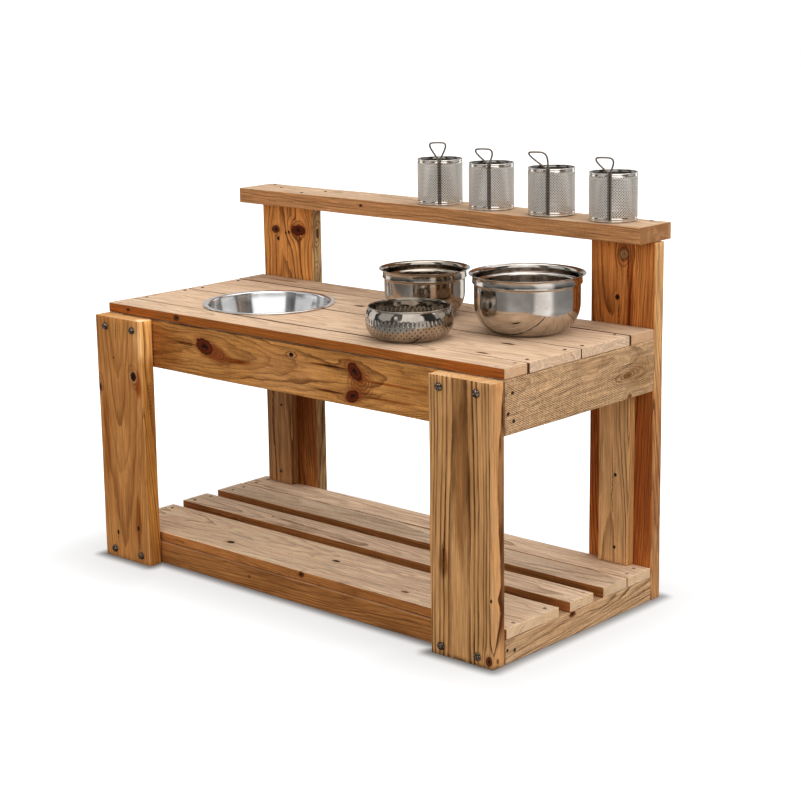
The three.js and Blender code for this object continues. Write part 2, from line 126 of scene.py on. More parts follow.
def ring_points(profile, segments):
    """Each point of a profile of radius and height as a ring: x = r cos t, y = r sin t."""
    turn = np.linspace(0, 2 * np.pi, segments, endpoint=False)
    return np.stack([profile[:, :1] * np.cos(turn), profile[:, :1] * np.sin(turn),
                     np.repeat(profile[:, 1:], segments, 1)], -1).reshape(-1, 3)


def revolve(profile, segments):
    """A profile of radius and height turned round the Z axis, as points, quads and the poles' fans.

    It runs from the axis to the axis, with the outside first, and each pole is one point.
    """
    rings = profile[1:-1]
    points = ring_points(rings, segments)
    first, last = len(points), len(points) + 1
    poles = np.array([[0, 0, profile[0][1]], [0, 0, profile[-1][1]]])
    here = np.arange(segments)
    after = (here + 1) % segments
    top = (len(rings) - 1) * segments
    fans = np.concatenate([np.stack([after, here, np.full(segments, first)], -1),
                           np.stack([top + here, top + after, np.full(segments, last)], -1)])
    return np.concatenate([points, poles]), grid_faces(len(rings), segments), fans


def cut_corners(line, passes):
    """Rounds a line's corners: each pass puts two points on a stretch, a quarter in from its ends."""
    for _ in range(passes):
        a, b = line[:-1], line[1:]
        inner = np.stack([0.75 * a + 0.25 * b, 0.25 * a + 0.75 * b], 1).reshape(-1, line.shape[1])
        line = np.concatenate([line[:1], inner, line[-1:]])
    return line


def evenly(line, step):
    """Points along a line at an even step."""
    reach = np.concatenate([[0], np.cumsum(np.linalg.norm(np.diff(line, axis=0), axis=1))])
    places = np.linspace(0, reach[-1], max(int(round(reach[-1] / step)), 2) + 1)
    return np.stack([np.interp(places, reach, line[:, k]) for k in range(line.shape[1])], -1)


def shell(outer, wall):
    """Closes a bowl's outer line, base to rim, with the same line moved in by the wall."""
    run = np.gradient(outer, axis=0)
    run /= np.maximum(np.linalg.norm(run, axis=1, keepdims=True), 1e-9)
    inner = outer + wall * np.stack([-run[:, 1], run[:, 0]], -1)
    inner[:, 0] = np.maximum(inner[:, 0], 0)
    inner[0, 0] = 0
    return np.concatenate([outer, inner[::-1]])


def tube(path, radius, sides, up):
    """A round wire along a path: a ring of radius r square to the path at each of its points."""
    run = np.gradient(path, axis=0)
    run /= np.linalg.norm(run, axis=1, keepdims=True)
    side = np.cross(run, up)
    side /= np.linalg.norm(side, axis=1, keepdims=True)
    lift = np.cross(side, run)
    turn = np.linspace(0, 2 * np.pi, sides, endpoint=False)[None, :, None]
    rings = path[:, None] + radius * (np.cos(turn) * side[:, None] + np.sin(turn) * lift[:, None])
    count = len(path)
    here = np.arange(sides)
    after = (here + 1) % sides
    ends = np.array([path[0], path[-1]])
    caps = np.concatenate([np.stack([here, after, np.full(sides, count * sides)], -1),
                           np.stack([(count - 1) * sides + after, (count - 1) * sides + here,
                                     np.full(sides, count * sides + 1)], -1)])
    return np.concatenate([rings.reshape(-1, 3), ends]), grid_faces(count, sides)[:, ::-1], caps


def turned(points, angle, place):
    """Points turned about the Z axis and moved to a place."""
    cos, sin = math.cos(angle), math.sin(angle)
    matrix = np.array([[cos, sin, 0], [-sin, cos, 0], [0, 0, 1]])
    return points @ matrix + np.array(place)


# Node graphs

ORIGIN = (0.0, 0.0, 0.0)
BLACK = (0.0, 0.0, 0.0, 1.0)
SOCKETS = {1: "NodeSocketFloat", 3: "NodeSocketVector", 4: "NodeSocketColor"}


class Wire:
    """What a node puts out. Sums, products and the like of it add Math nodes to its graph."""

    def __init__(self, graph, socket):
        self.graph, self.socket = graph, socket

    def __add__(self, other):
        return self.graph.math("ADD", self, other)

    def __sub__(self, other):
        return self.graph.math("SUBTRACT", self, other)

    def __rsub__(self, other):
        return self.graph.math("SUBTRACT", other, self)

    def __mul__(self, other):
        return self.graph.math("MULTIPLY", self, other)

    def __truediv__(self, other):
        return self.graph.math("DIVIDE", self, other)

    def __abs__(self):
        return self.graph.math("ABSOLUTE", self)


class Graph:
    """Adds nodes to one tree, so that an effect reads as a list of formulas."""

    def __init__(self, tree):
        self.tree = tree

    def add(self, kind, inputs=None, **settings):
        node = self.tree.nodes.new(kind)
        for key, value in settings.items():
            setattr(node, key, value)
        for key, value in (inputs or {}).items():
            self.feed(node.inputs[key], value)
        return node

    def out(self, which, kind, inputs=None, **settings):
        """One output of a new node."""
        return Wire(self, self.add(kind, inputs, **settings).outputs[which])

    def outs(self, node):
        """All of a node's outputs, by name."""
        return {socket.name: Wire(self, socket) for socket in node.outputs}

    def feed(self, socket, value):
        if isinstance(value, Wire):
            self.tree.links.new(value.socket, socket)
        else:
            socket.default_value = value

    def math(self, operation, a, b=0.0, clamp=False):
        return self.out(0, "ShaderNodeMath", {0: a, 1: b}, operation=operation, use_clamp=clamp)

    def vector(self, operation, a, b=ORIGIN):
        which = "Value" if operation in ("LENGTH", "DOT_PRODUCT") else "Vector"
        return self.out(which, "ShaderNodeVectorMath", {0: a, 1: b}, operation=operation)

    def mix(self, factor, a, b, blend="MIX"):
        return self.out(2, "ShaderNodeMix", {0: factor, 6: a, 7: b}, data_type="RGBA", blend_type=blend)

    def tint(self, colour, share):
        """A colour times another colour, or times one number."""
        if isinstance(share, Wire) and share.socket.type == "VALUE":
            share = self.join(share, share, share)
        return self.mix(1.0, colour, share, "MULTIPLY")

    def span(self, value, low, high, to_low=0.0, to_high=1.0):
        inputs = {"Value": value, "From Min": low, "From Max": high, "To Min": to_low, "To Max": to_high}
        return self.out(0, "ShaderNodeMapRange", inputs, interpolation_type="SMOOTHSTEP")

    def noise(self, place, scale, detail=2.0, roughness=0.5):
        """Noise at a place. Three scales stretch it along the axes."""
        if isinstance(scale, tuple):
            place, scale = self.vector("MULTIPLY", place, scale), 1.0
        inputs = {"Vector": place, "Scale": scale, "Detail": detail, "Roughness": roughness}
        return self.out("Fac", "ShaderNodeTexNoise", inputs)

    def line_noise(self, along, scale=1.0, detail=2.0):
        inputs = {"W": along, "Scale": scale, "Detail": detail}
        return self.out("Fac", "ShaderNodeTexNoise", inputs, noise_dimensions="1D")

    def split(self, vector):
        return list(self.outs(self.add("ShaderNodeSeparateXYZ", {0: vector})).values())

    def join(self, x, y, z):
        return self.out(0, "ShaderNodeCombineXYZ", {0: x, 1: y, 2: z})

    def coordinates(self, which="Object"):
        return self.out(which, "ShaderNodeTexCoord")

    def attribute(self, name):
        return self.out("Vector", "ShaderNodeAttribute", attribute_name=name)


def start_group(name, inputs, outputs):
    """A shader node group with named inputs and outputs, whose defaults tell their kinds.

    Returns its graph, its inputs' wires and its output node's sockets.
    """
    tree = bpy.data.node_groups.new(name, "ShaderNodeTree")
    for way, sockets in (("INPUT", inputs), ("OUTPUT", outputs)):
        for label, default in sockets.items():
            socket = tree.interface.new_socket(label, in_out=way, socket_type=SOCKETS[np.size(default)])
            socket.default_value = default
    graph = Graph(tree)
    return graph, graph.outs(graph.add("NodeGroupInput")), graph.add("NodeGroupOutput").inputs


def use_group(graph, name, **inputs):
    """Places a node group in a material, with its values."""
    node = graph.add("ShaderNodeGroup", node_tree=bpy.data.node_groups[name])
    for label, value in inputs.items():
        graph.feed(node.inputs[label.replace("_", " ")], value)
    return graph.outs(node)


def start_material(name, **values):
    """A material with a Principled BSDF and the values that are the same all over the surface."""
    material = bpy.data.materials.new(name)
    material.use_nodes = True
    shader = material.node_tree.nodes["Principled BSDF"]
    for label, value in values.items():
        shader.inputs[label.replace("_", " ")].default_value = value
    return material, Graph(material.node_tree), shader


def coat(graph, shader, colour, roughness, height=None, relief=0.0):
    """Feeds a finish to the shader, with its height in metres of relief through a Bump node."""
    graph.feed(shader.inputs["Base Color"], colour)
    graph.feed(shader.inputs["Roughness"], roughness)
    if height:
        bump = graph.out("Normal", "ShaderNodeBump", {"Height": height, "Distance": relief, "Strength": 1.0})
        graph.feed(shader.inputs["Normal"], bump)


def build_parting_group():
    """Grain that parts round a knot, as water parts round a post.

    The distance s beside the knot's middle becomes s (1 - k^2 / max(d, k)^2), where k is the knot's
    reach and d the distance from its middle, drawn in along the grain. All is in millimetres.
    """
    g, i, o = start_group("parted_grain", {"Place": ORIGIN, "Local": ORIGIN, "Beside": ORIGIN, "Reach": 10.0,
                                           "Stretch": 1.5}, {"Place": ORIGIN})
    along, beside, deep = g.split(i["Local"])
    drawn = along / (i["Stretch"] * 1.7)
    distance = g.math("MAXIMUM", g.vector("LENGTH", g.join(drawn, beside, 0.0)), i["Reach"])
    pull = g.math("POWER", i["Reach"] / distance, 2.0)
    shift = beside * pull * g.span(abs(deep), 6.0, 40.0, 1.0, 0.0)
    way = g.out("Vector", "ShaderNodeVectorMath", {0: i["Beside"], "Scale": shift}, operation="SCALE")
    g.feed(o["Place"], g.vector("SUBTRACT", i["Place"], way))


def build_grain_group():
    """Growth rings, fibres, stains, saw marks, end grain and worn edges of one timber.

    The ring distance is that from the pith, in millimetres, with slow sways along the timber. A
    ring's band rises slowly through its early wood and drops at its dark late edge. Its top, side and
    front faces are tinted with painted light and shade.
    """
    vectors = ("Place", "Parted", "Shift", "Pith", "Phases", "Saw Way", "Skin", "Facing")
    values = ("Taper", "Waver", "Ring Width", "Contrast", "Side Contrast", "Stain Amount", "Wear",
              "Saw Amount")
    inputs = {**dict.fromkeys(vectors, ORIGIN), **dict.fromkeys(values, 1.0),
              **dict.fromkeys(("Early", "Late", "Stain", "Pale", "Top", "Side", "Front"), BLACK)}
    g, i, o = start_group("timber_grain", inputs, {"Color": BLACK, "Roughness": 0.5, "Height": 0.0})
    edge, end, _ = g.split(i["Skin"])
    place = g.vector("ADD", i["Place"], i["Shift"])
    facing = g.split(g.vector("ABSOLUTE", i["Facing"]))
    is_side, is_front = g.span(facing[0], 0.55, 0.85), g.span(facing[1], 0.55, 0.85)
    is_top = g.span(g.split(i["Facing"])[2], 0.55, 0.85)

    # The growth rings
    along, across, deep = g.split(i["Parted"])
    phases, pith = g.split(i["Phases"]), g.split(i["Pith"])
    waves = [g.math("SINE", along / length + phase) * size for (size, length), phase in zip(SWAYS, phases)]
    aside = across - pith[1] - (waves[0] + waves[1])
    below = deep - pith[2] - waves[2]
    ring = g.vector("LENGTH", g.join(0.0, aside, below)) + along * i["Taper"]
    wander = g.noise(place, (0.014, 0.05, 0.05), 3.0) - 0.5
    drift = g.line_noise(ring * 0.06, detail=1.0)
    turns = (ring + wander * (i["Waver"] * 4.0) + drift * 16.0) / i["Ring Width"]
    phase = g.math("FRACT", turns)
    late = g.math("POWER", g.span(phase, 0.25, 0.9), 1.6) * g.span(phase, 0.94, 1.0, 1.0, 0.0)
    each = g.out("Value", "ShaderNodeTexWhiteNoise", {"W": g.math("FLOOR", turns)}, noise_dimensions="1D")
    comes = g.noise(place, (0.008, 0.035, 0.035))
    band = late * g.span(each, 0.0, 1.0, 0.4, 1.0) * g.span(comes, 0.3, 0.58, 0.45, 1.0)

    # Fibres, clouds of stain, and the tint of each face, which is painted light and shade
    fine = g.noise(place, (0.014, 0.62, 0.62), 2.0, 0.7)
    streak = g.noise(place, (0.007, 0.17, 0.17), 3.0, 0.6)
    cloud = g.noise(place, (0.006, 0.022, 0.022), 3.0, 0.6)
    speck = g.noise(place, (0.09, 0.8, 0.8), 1.0)
    strength = i["Contrast"] * (is_side * (i["Side Contrast"] - 1.0) + 1.0)
    colour = g.mix(g.math("MULTIPLY", band, strength, True), i["Early"], i["Late"])
    colour = g.mix(g.span(cloud, 0.42, 0.66) * i["Stain Amount"], colour, i["Stain"])
    shade = g.span(streak, 0.22, 0.78, 0.86, 1.14) + g.span(fine, 0.28, 0.72, -0.26, 0.26)
    colour = g.tint(colour, shade * g.span(speck, 0.66, 0.78, 1.0, 0.7))
    # Painted light and shade: the top, side and front faces each get their own tint.
    for mask, face in ((is_top, "Top"), (is_side, "Side"), (is_front, "Front")):
        colour = g.mix(mask, colour, g.tint(colour, i[face]))

    # End grain and rubbed edges
    end_band = g.mix(band * 0.55, i["Pale"], i["Late"])
    end_patch = g.mix(g.span(cloud, 0.46, 0.62, 0.0, 0.55), end_band, i["Early"])
    end_colour = g.mix(g.span(g.noise(i["Place"], 1.6), 0.55, 0.8, 0.0, 0.3), end_patch, i["Late"])
    colour = g.mix(g.span(end, 0.3, 0.75), colour, end_colour)
    rubbed = g.noise(place, (0.012, 0.1, 0.1), 3.0)
    worn = g.span(edge, 0.15, 0.8) * g.span(rubbed, 0.38, 0.62, 0.1, 1.0)
    colour = g.mix(worn * i["Wear"], colour, i["Pale"])

    # Saw marks
    across_saw = g.vector("DOT_PRODUCT", place, i["Saw Way"]) + g.noise(place, 0.02) * 5.0
    strokes = g.noise(place, (0.22, 0.1, 0.1))
    marks = g.span(g.math("SINE", across_saw * 1.85), -0.5, 0.9) * g.span(strokes, 0.36, 0.62, 0.25, 1.0)
    marks = marks * g.span(g.noise(place, 0.014), 0.26, 0.46, 0.3, 1.0) * i["Saw Amount"]
    g.feed(o["Color"], g.tint(colour, g.span(marks, 0.0, 1.0, 1.1, 0.45)))
    g.feed(o["Roughness"], g.span(streak, 0.2, 0.8, 0.52, 0.74))
    g.feed(o["Height"], band * 0.45 + (fine + streak) * 0.35 - marks * 0.6)


def start_mark(name, scale, detail, amount, **inputs):
    """Starts a mark's group, whose Spread holds one over the mark's reach along each axis.

    Also gives the place as shares of that reach, the distance d from the middle, which is 1 at the
    mark's edge, and the noise that moves the edge in and out.
    """
    outputs = {"Color": BLACK, **({"Height": 0.0} if "Height" in inputs else {})}
    g, i, o = start_group(name, {"Color": BLACK, "Local": ORIGIN, "Spread": ORIGIN, **inputs}, outputs)
    away = g.vector("MULTIPLY", i["Local"], i["Spread"])
    uneven = g.noise(i["Local"], scale, detail) - 0.5
    return g, i, o, away, g.vector("LENGTH", away) + uneven * amount, uneven


def build_patch_group():
    """A broad soft patch, dark or pale, drawn out along the grain; some are painted shade and light."""
    g, i, o, _, distance, _ = start_mark("soft_patch", (0.012, 0.07, 0.07), 3.0, 1.0, Tint=BLACK)
    mask = g.span(distance, 0.45, 1.1, 1.0, 0.0)
    g.feed(o["Color"], g.mix(mask, i["Color"], g.tint(i["Color"], i["Tint"])))


def build_swirl_group():
    """Grain that curls beside a knot: fine closed rings, d = const, on a warm ground."""
    g, i, o, _, distance, _ = start_mark("swirl", 0.045, 2.0, 0.5, Warm=(0.33, 0.08, 0.019, 1),
                                         Line=(0.12, 0.04, 0.012, 1), Warmth=0.5, Rings=4.0)
    wave = g.math("SINE", distance * (i["Rings"] * 6.2832))
    lines = g.span(wave, -0.2, 1.0) * g.span(distance, 0.6, 1.15, 0.62, 0.0)
    colour = g.mix(g.span(distance, 0.45, 1.1, 1.0, 0.0) * i["Warmth"], i["Color"], i["Warm"])
    g.feed(o["Color"], g.mix(lines, colour, i["Line"]))


def build_knot_group():
    """One knot: an egg-shaped stretch of distances d from its middle, with d = 1 at its bark edge.

    Inside are its own rings and splits that run out from its middle, at the edge a dark line, round
    it a halo, and in it a dark hole.
    """
    g, i, o, away, distance, uneven = start_mark("knot", 0.12, 2.0, 0.6, Height=0.0, Wood=BLACK, Halo=BLACK,
                                                 Dark=(0.02, 0.008, 0.004, 1), Hole=0.25)
    core = g.span(distance, 0.88, 1.04, 1.0, 0.0)
    halo = g.span(distance, 0.95, 1.75, 0.8, 0.0)
    rings = g.span(g.math("SINE", distance * 17.0), -0.4, 1.0, 0.0, 0.45)
    rim = g.span(distance, 0.74, 0.96) * core
    along, beside, _ = g.split(away)
    turn = g.math("ARCTAN2", beside, along) * 1.5 + uneven * 7.0
    split = g.span(abs(g.math("SINE", turn)), 0.05, 0.3, 1.0, 0.0) * g.span(distance, 0.35, 0.8, 1.0, 0.0)
    hole = g.span(distance / i["Hole"], 0.7, 1.15, 1.0, 0.0)
    deep = g.math("MAXIMUM", hole, split) * core
    colour = g.mix(halo, i["Color"], g.mix(0.55, i["Color"], i["Halo"]))
    colour = g.mix(core, colour, g.mix(rings, i["Wood"], i["Dark"]))
    colour = g.mix(rim * 0.7, colour, i["Dark"])
    g.feed(o["Color"], g.mix(deep, colour, i["Dark"]))
    g.feed(o["Height"], i["Height"] - (rim * 0.5 + deep * 1.6))


def build_crack_group():
    """A drying crack: a dark line along the grain that wanders aside and thins towards its ends."""
    g, i, o = start_group("crack", {
        "Color": BLACK, "Height": 0.0, "Local": ORIGIN, "Half Length": 40.0, "Half Width": 0.6, "Reach": 6.0,
        "Seed": 0.0, "Dark": (0.015, 0.007, 0.004, 1)}, {"Color": BLACK, "Height": 0.0})
    along, beside, deep = g.split(i["Local"])
    path = along / 34.0 + i["Seed"]
    share = abs(along) / i["Half Length"]
    rough = g.span(g.line_noise(path, 7.0), 0.3, 0.7, 0.4, 1.3)
    width = i["Half Width"] * g.span(share, 0.2, 1.0, 1.0, 0.0) * rough
    aside = abs(beside + (g.line_noise(path) - 0.5) * 7.0)
    mask = g.span(aside / g.math("MAXIMUM", width, 0.02), 0.4, 1.6, 1.0, 0.0)
    mask = mask * g.span(abs(deep) / i["Reach"], 0.8, 1.0, 1.0, 0.0) * g.span(share, 0.85, 1.0, 1.0, 0.0)
    g.feed(o["Color"], g.mix(mask, i["Color"], i["Dark"]))
    g.feed(o["Height"], i["Height"] - mask * 2.0)


def build_spun_group():
    """Steel spun or rolled round an axis: fine lines round it, wiped smears and faint clouding."""
    g, i, o = start_group(
        "spun_steel",
        {"Place": ORIGIN, "Smooth": 0.1, "Dull": 0.3, "Lines": 900.0, "Bright": BLACK, "Grey": BLACK},
        {"Color": BLACK, "Roughness": 0.5, "Height": 0.0})
    x, y, z = g.split(i["Place"])
    smear = g.noise(i["Place"], 26.0, 3.0, 0.6)
    rounds = g.join(g.vector("LENGTH", g.join(x, y, 0.0)), z, smear * 0.0012)
    lines = g.noise(rounds, i["Lines"], 3.0, 0.7)
    wiped = g.noise(g.vector("MULTIPLY", i["Place"], (1.0, 1.0, 2.4)), 38.0, 4.0, 0.6)
    dull = g.span(wiped, 0.4, 0.75) * g.span(lines, 0.3, 0.7, 0.6, 1.0)
    g.feed(o["Roughness"], i["Smooth"] + dull * (i["Dull"] - i["Smooth"]))
    g.feed(o["Color"], g.mix(g.span(smear, 0.35, 0.7), i["Bright"], i["Grey"]))
    g.feed(o["Height"], lines)


PIT_DARK = paint(48, 38, 30)
LINE_RELIEF = 0.02 * MM


def spun_material(name, centre, smooth, dull, bright, grey, relief=LINE_RELIEF, brushed=0.0, pits="",
                  inside=1.0):
    """Steel turned about an upright axis through a centre.

    Brushed steel draws its glints across its lines. Where an attribute of pits is named, the pits are
    painted darker. Faces that look towards the axis have the inside's share of the colour, which is
    painted shade inside the baskets.
    """
    material, g, shader = start_material(name, Metallic=1.0, Anisotropic=brushed, Anisotropic_Rotation=0.25)
    centred = {"Vector": g.coordinates(), "Location": tuple(-c for c in centre)}
    place = g.out(0, "ShaderNodeMapping", centred)
    steel = use_group(g, "spun_steel", Place=place, Smooth=smooth, Dull=dull, Bright=(*bright, 1),
                      Grey=(*grey, 1))
    colour = steel["Color"]
    # The pits are painted darker, towards a dark brown.
    if pits:
        pit_share = g.split(g.attribute(pits))[0]
        colour = g.mix(g.span(pit_share, 0.2, 0.6, 0.0, 0.95), colour, PIT_DARK)
    # Painted shade: faces that look towards the axis keep only the inside's share of the colour.
    if inside < 1:
        normal = g.out("Normal", "ShaderNodeNewGeometry")
        outward = g.vector("DOT_PRODUCT", normal, g.vector("NORMALIZE", place))
        colour = g.tint(colour, g.span(outward, -0.5, 0.0, inside, 1.0))
    coat(g, shader, colour, steel["Roughness"], steel["Height"], relief)
    return material


# Timbers

END_RADIUS = 1.1 * MM
ACROSS_STEP = 1.8 * MM
ALONG_STEP = 9 * MM
EDGE_TICKS = (0, 0.2, 0.45, 0.75, 1)
# The pith's sways along a timber: how far, in millimetres, and over what length.
SWAYS = ((1.6, 95.0), (2.6, 210.0), (1.1, 61.0))

# Each kind of timber: the order of its axes (along its grain, across its broad face, through its
# thickness), and its colours, 0 to 255 a channel: early and late wood, the stain that clouds it, the
# pale wood of rubbed edges and sawn ends, and the early wood of its top, side and front faces, which
# is painted light and shade: one wood tinted lighter or darker on each face as light falls on it.
PALETTES = {
    "rail": ("xzy", (206, 138, 72), (92, 46, 16), (151, 90, 39), (221, 166, 109), (215, 170, 123),
             (194, 141, 91), (210, 145, 79)),
    "low_rail": ("xzy", (188, 130, 76), (84, 44, 18), (128, 80, 40), (206, 158, 106), (205, 160, 113),
                 (190, 141, 91), (190, 130, 73)),
    "side_rail": ("yzx", (207, 164, 119), (104, 62, 30), (174, 131, 89), (219, 180, 137), (215, 176, 137),
                  (208, 167, 125), (194, 139, 83)),
    "left_leg": ("zxy", (204, 137, 72), (100, 50, 18), (158, 94, 42), (228, 176, 117), (217, 170, 118),
                 (217, 148, 73), (208, 142, 79)),
    "right_leg": ("zxy", (216, 160, 102), (82, 43, 18), (164, 110, 60), (227, 182, 130), (219, 178, 130),
                  (210, 153, 99), (215, 160, 103)),
    "red_post": ("zxy", (209, 129, 66), (90, 40, 14), (146, 74, 30), (217, 165, 107), (209, 157, 104),
                 (212, 161, 106), (211, 133, 68)),
    "left_post": ("zxy", (219, 147, 77), (88, 48, 21), (155, 90, 40), (225, 174, 116), (217, 167, 112),
                  (213, 175, 122), (227, 153, 82)),
    "board": ("xyz", (223, 191, 160), (140, 98, 66), (203, 166, 132), (210, 168, 129), (209, 178, 147),
              (212, 172, 132), (162, 92, 38)),
    # The deck's colours are set pale as painted light, making up for the shade under the worktop.
    "deck": ("xyz", (232, 198, 164), (136, 96, 64), (207, 168, 133), (226, 190, 150), (238, 208, 176),
             (214, 176, 138), (181, 117, 64)),
    "shelf": ("xyz", (206, 156, 111), (124, 78, 44), (178, 127, 84), (160, 112, 72), (211, 178, 146),
              (194, 142, 95), (200, 143, 94)),
    "batten": ("zxy", (226, 178, 122), (106, 64, 32), (180, 131, 81), (226, 180, 130), (219, 177, 134),
               (202, 148, 92), (232, 184, 128)),
}

# Each timber's grain: the pith's place off the section's middle and the ring width in millimetres,
# how much the rings narrow along it, how proud its ridges stand, its contrast, stain and saw marks with
# their slant, how far the grain wavers, the radius of its edges, their wear, and the dark seam beside it.
PLAIN = dict(pith=(12, 60), ring=3.8, taper=0.02, ridge=0.1, contrast=0.85, side=1.0, stain=0.4, saw=0.0,
             slant=1.06, waver=1.2, round=2.0, wear=0.25, seam=0.0)
# What all the timbers of a kind have instead.
KINDS = {"board": dict(contrast=0.6, saw=0.2, round=2.6), "deck": dict(saw=0.4),
         "left_leg": dict(round=4.5, wear=0.8), "right_leg": dict(round=4.5, wear=0.8),
         "left_post": dict(round=4.0, contrast=0.95), "red_post": dict(round=4.0, contrast=0.95)}
# Each timber: its kind, and what it has of its own.
TIMBERS = {
    "upper_front_rail": ("rail", dict(pith=(8, 52), ring=3.4, taper=0.03, saw=0.45, slant=-1.15, waver=1.8)),
    "upper_back_rail": ("rail", dict(pith=(-14, -55), ring=3.2, taper=-0.02)),
    "upper_side_rail_left": ("side_rail", dict(pith=(-10, 60), taper=0.04, saw=1.0)),
    "upper_side_rail_right": ("side_rail", dict(pith=(30, -52), ring=3.4, taper=0.03, contrast=0.62,
                              stain=0.2, saw=1.2)),
    "lower_front_rail": ("low_rail", dict(pith=(30, 40), ring=3.2, stain=0.5)),
    "lower_back_rail": ("low_rail", dict(pith=(20, -40), ring=3.2)),
    "lower_side_rail_left": ("side_rail", dict(pith=(30, 46), saw=0.7)),
    "lower_side_rail_right": ("side_rail", dict(pith=(24, -30), ring=4.2, taper=0.05, contrast=1.0,
                              saw=0.5)),
    "front_leg_left": ("left_leg", dict(pith=(-6, 60), ring=5.2, taper=-0.05, ridge=0.2, contrast=0.62,
                       side=1.5, waver=1.0)),
    "front_leg_right": ("right_leg", dict(pith=(-4, 14), ring=7.4, taper=0.012, ridge=0.8, contrast=1.15,
                        stain=0.3, waver=0.8)),
    "rear_post_left": ("left_post", dict(pith=(-6, 40), ring=5.0, taper=0.05, side=1.3, waver=1.6)),
    "rear_post_right": ("red_post", dict(pith=(-26, 36), ring=4.4, taper=-0.04, waver=1.4)),
    "worktop_board_front": ("board", dict(pith=(10, -60), ring=3.4, taper=0.03)),
    "worktop_board_sink_front": ("board", dict(pith=(-20, -70), ring=4.0, taper=0.03, waver=2.0, seam=2.4)),
    "worktop_board_sink_back": ("board", dict(pith=(24, -70), ring=4.0, taper=-0.03, waver=2.0, seam=2.4)),
    "worktop_board_back": ("board", dict(pith=(0, -50), ring=3.4, taper=0.03, seam=2.4)),
    "deck_slat_front": ("deck", dict(pith=(30, -74), ring=4.0, taper=0.04, contrast=0.7, saw=0.3, slant=0.9,
                        waver=2.2)),
    "deck_slat_second": ("deck", dict(pith=(-16, -60), slant=-0.8)),
    "deck_slat_third": ("deck", dict(pith=(14, -70), slant=0.8)),
    "deck_slat_back": ("deck", dict(pith=(-10, -50), ring=3.6, slant=-0.8)),
    "batten_left": ("batten", dict(pith=(10, 40), ring=4.4, ridge=0.3, contrast=1.0)),
    "batten_right": ("batten", dict(pith=(-12, 44), ring=5.0, ridge=0.35, contrast=1.05)),
    "shelf_board": ("shelf", dict(pith=(16, -52), ring=3.4, contrast=0.75, saw=0.4)),
}

# Knots' own wood, the halo round them and the dark hole's share of them.
KNOT_KINDS = {
    "red": ((106, 43, 18), (146, 68, 27), 0.3), "brown": ((112, 62, 30), (154, 88, 42), 0.35),
    "hole": ((74, 40, 20), (226, 172, 112), 0.66), "pin": ((84, 48, 26), (150, 98, 56), 0.6),
    "loose": ((176, 128, 82), (90, 42, 20), 0.12), "faint": ((150, 100, 58), (168, 122, 80), 0.15),
}

# Knots on each timber: x, y, z and radius in millimetres, how far it is drawn out along the grain, its
# kind, and its tilt in radians.
KNOTS = {
    "front_leg_left": [(108, -33, 379, 8.5, 1.15, "hole", 0.3), (5, -33, 346, 6, 1.5, "brown", 0.5),
                       (41, -33, 53, 3, 1.6, "pin", 0), (103, -33, 72, 3.4, 1.8, "pin", 0),
                       (52, -33, 410, 1.6, 1.2, "pin", 0)],
    "front_leg_right": [(990, -33, 14, 7, 1.3, "brown", 0), (995, -33, 121, 2, 1.6, "pin", 0)],
    "upper_front_rail": [(279, 0, 455, 14.5, 1.65, "red", 0.25), (509, 0, 469, 4.5, 1.3, "hole", 0),
                         (664, 0, 459, 12.5, 1.6, "red", 0.75), (658, 0, 414, 11, 1.5, "red", -0.25)],
    "lower_front_rail": [(381, 0, 24, 3, 0.5, "pin", 0)],
    "upper_side_rail_right": [(1000, 346, 438, 5, 2.6, "faint", 0), (1000, 352, 399, 5, 1.2, "faint", 0),
                              (1000, 9, 432, 3.2, 1.1, "pin", 0)],
    "lower_side_rail_right": [(1000, 186, 40, 5, 1.6, "brown", 0), (1000, 6, 25, 3, 1.0, "pin", 0)],
    "rear_post_left": [(44, 426, 608, 12, 0.7, "brown", 0), (110, 426, 611, 20, 0.55, "red", 0),
                       (73, 426, 603, 2.6, 1.2, "pin", 0), (82, 426, 605, 2.8, 1.2, "pin", 0),
                       (50, 426, 589, 4, 1.0, "pin", 0), (41, 426, 81, 4, 1.2, "pin", 0)],
    "rear_post_right": [(932, 426, 638, 10, 0.95, "loose", 0), (918, 426, 558, 5, 1.0, "pin", 0)],
    "deck_slat_front": [(516, 4, 56, 5.5, 1.3, "brown", 0), (525, 89, 63, 4.5, 1.9, "hole", 0),
                        (287, 43, 63, 6, 1.5, "hole", 0), (739, 41, 63, 4, 2.0, "faint", 0)],
    "deck_slat_second": [(228, 216, 63, 2.4, 1.2, "pin", 0)],
    "worktop_board_front": [(200, 2, 500, 6, 1.4, "brown", 0), (60, 2, 500, 3, 1.4, "pin", 0)],
    "worktop_board_sink_front": [(874, 167, 509, 4.5, 3.2, "pin", 0), (887, 80, 509, 3.5, 3.4, "pin", 0)],
    "worktop_board_sink_back": [(426, 272, 509, 5, 2.4, "pin", 0), (700, 330, 509, 6, 1.8, "pin", 0)],
    "shelf_board": [(330, 382, 684, 2.5, 1.6, "pin", 0)],
}

